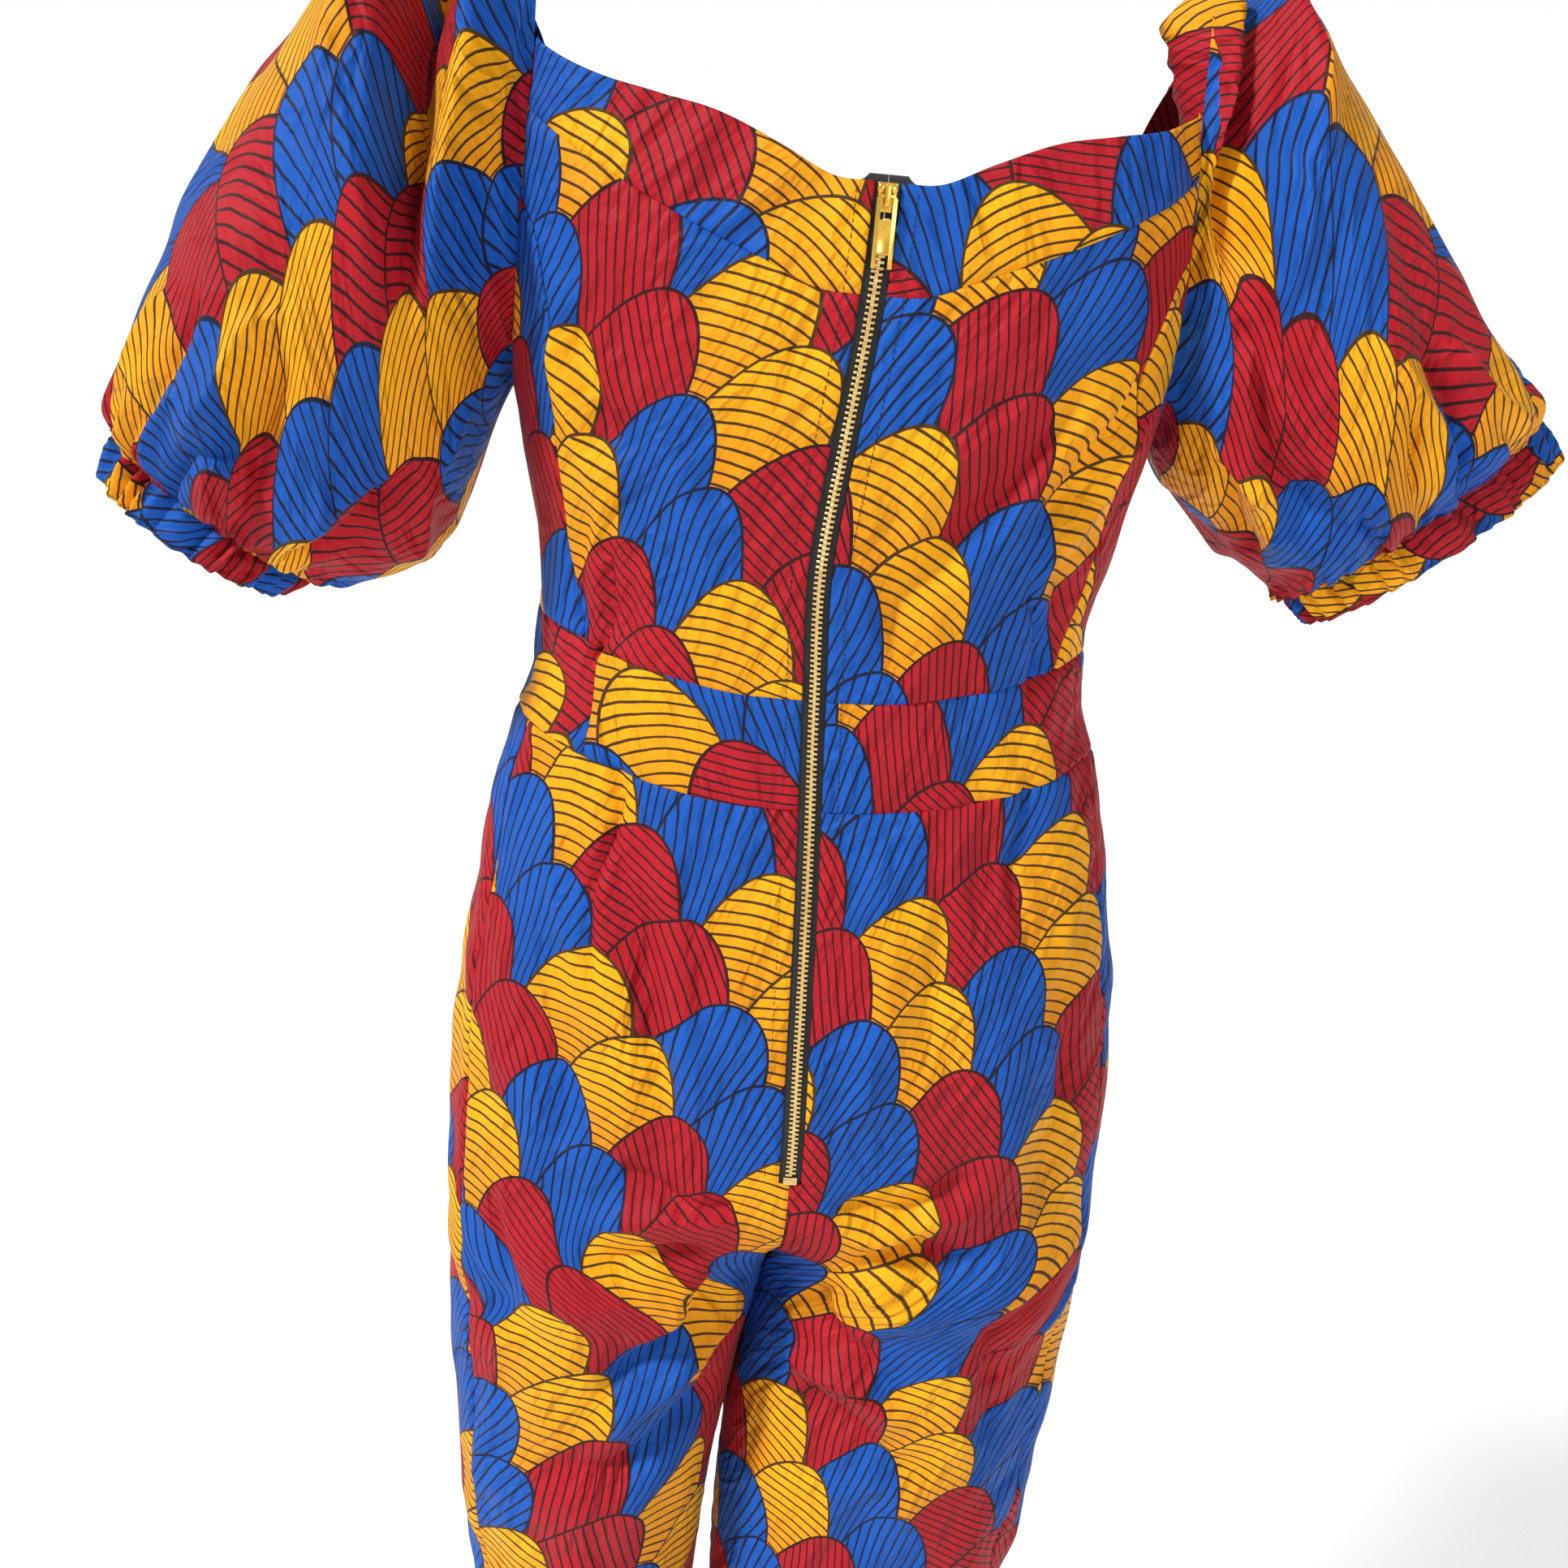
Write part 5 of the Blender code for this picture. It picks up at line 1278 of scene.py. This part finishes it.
def buildSlider(material):
    print("scene: slider")
    facts = sliderFacts
    low, high = (Vector(corner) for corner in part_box("zip_slider"))
    face, x = low.y + facts["bridgeHeight"], (low.x + high.x) / 2
    plate = hardBox("zipSlider", (low.x, face, low.z), (high.x, high.y, high.z))
    for vertex in plate.data.vertices:
        if vertex.co.z < (low.z + high.z) / 2:
            vertex.co.x = x + (vertex.co.x - x) * facts["narrow"]
    roundEdges(plate, facts["rounding"], 3)
    for side in (left, right):
        bpy.ops.object.select_all(action="DESELECT")
        bpy.ops.mesh.primitive_uv_sphere_add(
            segments=20, ring_count=12, radius=facts["shoulder"],
            location=(x + side * facts["shoulderAside"], face + facts["shoulderSunk"],
                      high.z - facts["shoulderDown"]))
        dome = bpy.context.object
        dome.scale = facts["shoulderScale"]
        bpy.ops.object.transform_apply(location=True, rotation=True, scale=True)
        carve(plate, dome, "UNION")
    half, pinZ = facts["bridgeLength"] / 2, facts["pinZ"]
    bridge = hardBox("bridge", (x - facts["bridgeWidth"] / 2, low.y, pinZ - half),
                     (x + facts["bridgeWidth"] / 2, face + past, pinZ + half),
                     facts["bridgeRounding"], 3)
    bar, end, aside = facts["bridgeBar"], facts["slotEnd"], facts["slotHalf"]
    slot = hardBox("slot", (x - aside, low.y + bar, pinZ - half + end * bar),
                   (x + aside, face, pinZ + half - end * bar), facts["slotRounding"])
    carve(bridge, slot, "DIFFERENCE")
    carve(plate, bridge, "UNION")
    return finishHard(plate, "garment", material, "zip_metal", "zip_slider")


tabFacts = dict(rail=0.0020, head=0.0012, upperWindow=0.0092, bar=0.0042, panel=0.0094,
                panelDepth=0.0005, lowerBar=0.0008, lowerWindow=0.0056, shoulder=0.0016,
                rounding=0.00018, windowRounding=0.00025)
near = 0.0001           # ends closer than this are level


def buildTab(material):
    print("scene: pull tab")
    facts = tabFacts
    low, high = (Vector(corner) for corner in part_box("zip_pull_tab"))
    tab = hardBox("zipPullTab", low, high)
    # the corners at the hinge are cut off to sloping shoulders
    roundEdges(tab, facts["shoulder"], 1,
               lambda a, b: min(a.z, b.z) > high.z - near and abs(a.x - b.x) < near)
    roundEdges(tab, facts["rounding"])
    inner, x = (high.x - low.x) / 2 - facts["rail"], (low.x + high.x) / 2
    z = high.z - facts["head"]
    for cutTo, tall, gap in ((high.y + past, facts["upperWindow"], facts["bar"]),
                             (low.y + facts["panelDepth"], facts["panel"], facts["lowerBar"]),
                             (high.y + past, facts["lowerWindow"], 0.0)):
        window = hardBox("window", (x - inner, low.y - past, z - tall), (x + inner, cutTo, z),
                         facts["windowRounding"])
        carve(tab, window, "DIFFERENCE")
        z -= tall + gap
    return finishHard(tab, "pull_tab", material, "zip_metal", "zip_pull_tab")


# Stitches: each one lies in the cloth with its ends sunk
stitch = dict(
    length=0.0024, step=0.0031, radius=0.00017, out=0.0001, fromZip=0.0135, aboveHem=0.020,
    shares=(0.0, 0.2, 0.5, 0.8, 1.0), sunk=(-0.00025, 0.00008, 0.00014, 0.00008, -0.00025),
    probe=0.001,            # a step out of the cloth, which shows where it faces
    count=300)              # points of a run
# rows along the gathered cuff, on both sides of its seam and at its end
cuffRows = {"In": 0.992, "Out": 1.010, "End": 1.074}


def stitchRun(name, points, outward, material):
    run = lengths(points, 0)
    starts = np.arange(0, run[-1] - stitch["length"], stitch["step"])
    shares, sunk = np.array(stitch["shares"]), np.array(stitch["sunk"])
    vertices, faces = [], []
    for start in starts:
        at = start + shares * stitch["length"]
        middle = np.stack([np.interp(at, run, points[:, k]) for k in range(3)], axis=-1)
        normal = np.stack([np.interp(at, run, outward[:, k]) for k in range(3)], axis=-1)
        normal = normal / np.linalg.norm(normal, axis=1, keepdims=True)
        along = middle[-1] - middle[0]
        across = np.cross(along, normal)
        across = across / np.linalg.norm(across, axis=1, keepdims=True)
        middle = middle + normal * sunk[:, None]
        first = len(vertices)
        for ring in range(len(shares)):
            for a, b in ((1, 0), (0, 1), (-1, 0), (0, -1)):
                vertices.append(middle[ring] + stitch["radius"] * (a * across[ring]
                                                                   + b * normal[ring]))
        for ring in range(len(shares) - 1):
            for k in range(4):
                here, there = first + ring * 4, first + ring * 4 + 4
                faces.append((here + k, here + (k + 1) % 4, there + (k + 1) % 4, there + k))
        faces.append(tuple(first + k for k in (3, 2, 1, 0)))
        faces.append(tuple(first + 16 + k for k in range(4)))
    mesh = newMesh(name, vertices, faces)
    item = placed(name, mesh)
    mesh.materials.append(material)
    check = bmesh.new()
    check.from_mesh(mesh)
    bmesh.ops.recalc_face_normals(check, faces=check.faces)
    check.to_mesh(mesh)
    check.free()
    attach(item, "garment")
    return item


# A run of stitches on the body from shares and heights
def bodyStitches(name, side, shares, heights, material):
    body, out = bodies[side], stitch["out"]
    extra = body.creases(shares, heights)
    points = body.point(shares, heights, out + extra)
    outward = body.point(shares, heights, out + stitch["probe"] + extra) - points
    stitchRun(name, points, outward, material)


def buildStitches(material):
    print("scene: stitches")
    count = stitch["count"]
    heights = np.linspace(cut["zipEndZ"] + 0.001, -0.002, count)
    shares = np.linspace(0.01, 0.99, count)
    angles = np.linspace(0.02, 2 * math.pi - 0.02, count)
    for side, body in bodies.items():
        word = sideWord(side)
        bodyStitches("zipStitches" + word, side, stitch["fromZip"] / body.girth(heights), heights,
                     material)
        for row, t in cuffRows.items():
            ts = np.full_like(angles, t)
            points = sleevePoint(side, angles, ts, stitch["out"])
            outward = sleevePoint(side, angles, ts, stitch["out"] + stitch["probe"]) - points
            stitchRun(f"cuffStitches{row}{word}", points, outward, material)
        hem = np.full_like(shares, cut["hemZ"] + stitch["aboveHem"])
        bodyStitches("hemStitches" + word, side, shares, hem, material)


# Camera at the photo's place: behind the garment, a little left of it, looking down and rolled
cameraFacts = dict(turn=4.0, down=15.5, roll=5.0, far=0.825, height=-0.073, aside=0.0086,
                   lens=36.0)


def addCamera():
    turn, down, roll = (math.radians(cameraFacts[k]) for k in ("turn", "down", "roll"))
    ahead = Vector((math.sin(turn) * math.cos(down), math.cos(turn) * math.cos(down),
                    -math.sin(down)))
    across = Vector((math.cos(turn), -math.sin(turn), 0))
    up = across.cross(ahead)
    far = cameraFacts["far"]
    place = Vector((-far * math.sin(turn), -far * math.cos(turn), cameraFacts["height"]))
    place -= cameraFacts["aside"] * across
    rolled = math.cos(roll) * across + math.sin(roll) * up
    rolledUp = -math.sin(roll) * across + math.cos(roll) * up
    data = bpy.data.cameras.new("camera")
    data.lens, data.sensor_width, data.clip_start = cameraFacts["lens"], 36.0, 0.01
    camera = placed("camera", data)
    camera.matrix_world = Matrix(((rolled.x, rolledUp.x, -ahead.x, place.x),
                                  (rolled.y, rolledUp.y, -ahead.y, place.y),
                                  (rolled.z, rolledUp.z, -ahead.z, place.z),
                                  (0, 0, 0, 1)))
    scene.camera = camera


# A sun with a soft edge from above on the left, and a weaker lamp on the right
lampFacts = {
    "key": dict(kind="SUN", place=(-2.8, -1.6, 2.5), power=3.2, size=math.radians(8)),
    "fill": dict(kind="AREA", place=(0.9, -2.3, 0.6), power=17.0, size=0.8)}
roomLight = 0.11        # of the white room, on the cloth
mirroredLight = 0.7     # of the same, in the metal
lampAim = (0.0, 0.0, -0.25)
floorFacts = dict(radius=14, z=-1.285)


def addLight(material):
    print("scene: floor and light")
    scene.view_settings.view_transform = "Standard"
    for name, facts in lampFacts.items():
        lamp = bpy.data.lights.new(name, facts["kind"])
        lamp.energy = facts["power"]
        if facts["kind"] == "SUN":
            lamp.angle = facts["size"]
        else:
            lamp.shape, lamp.size = "DISK", facts["size"]
        item = placed(name, lamp)
        place = Vector(facts["place"])
        item.location = place
        item.rotation_euler = (Vector(lampAim) - place).to_track_quat("-Z", "Y").to_euler()
    world = bpy.data.worlds.new("world")
    world.use_nodes = True
    tree = world.node_tree
    tree.nodes["Background"].inputs["Color"].default_value = (1, 1, 1, 1)
    # the backdrop shows white, and lights the cloth less than that
    seen = addNode(tree, "ShaderNodeLightPath").node.outputs
    strength = addNode(tree, "ShaderNodeMapRange", {"Value": seen["Is Camera Ray"],
                                                    "To Min": roomLight, "To Max": 1.0})
    mirrored = times(seen["Is Glossy Ray"], mirroredLight)
    strength = calc("MAXIMUM", strength, mirrored)
    tree.links.new(strength, tree.nodes["Background"].inputs["Strength"])
    scene.world = world
    bpy.ops.mesh.primitive_circle_add(vertices=96, radius=floorFacts["radius"], fill_type="NGON",
                                      location=(0, 0, floorFacts["z"]))
    floor = bpy.context.object
    floor.name = "floor"
    floor.data.materials.append(material)


bpy.ops.object.select_all(action="DESELECT")
addCamera()
printedCotton = printMaterial()
blackTape = tapeMaterial()
brass = metalMaterial("polishedBrass", "#F2C95E", "#D9A23A", 0.14)
paleBrass = metalMaterial("paleBrassTeeth", "#EFD79C", "#CBA662", 0.18)
darkThread = threadMaterial()
buildYokes(printedCotton)
buildBodice(printedCotton)
buildWaistband(printedCotton)
buildTrousers(printedCotton)
buildSleeves(printedCotton)
buildTapes(blackTape)
buildTeeth(paleBrass)
buildStop(paleBrass)
buildSlider(brass)
buildTab(brass)
buildStitches(darkThread)
addLight(floorMaterial())
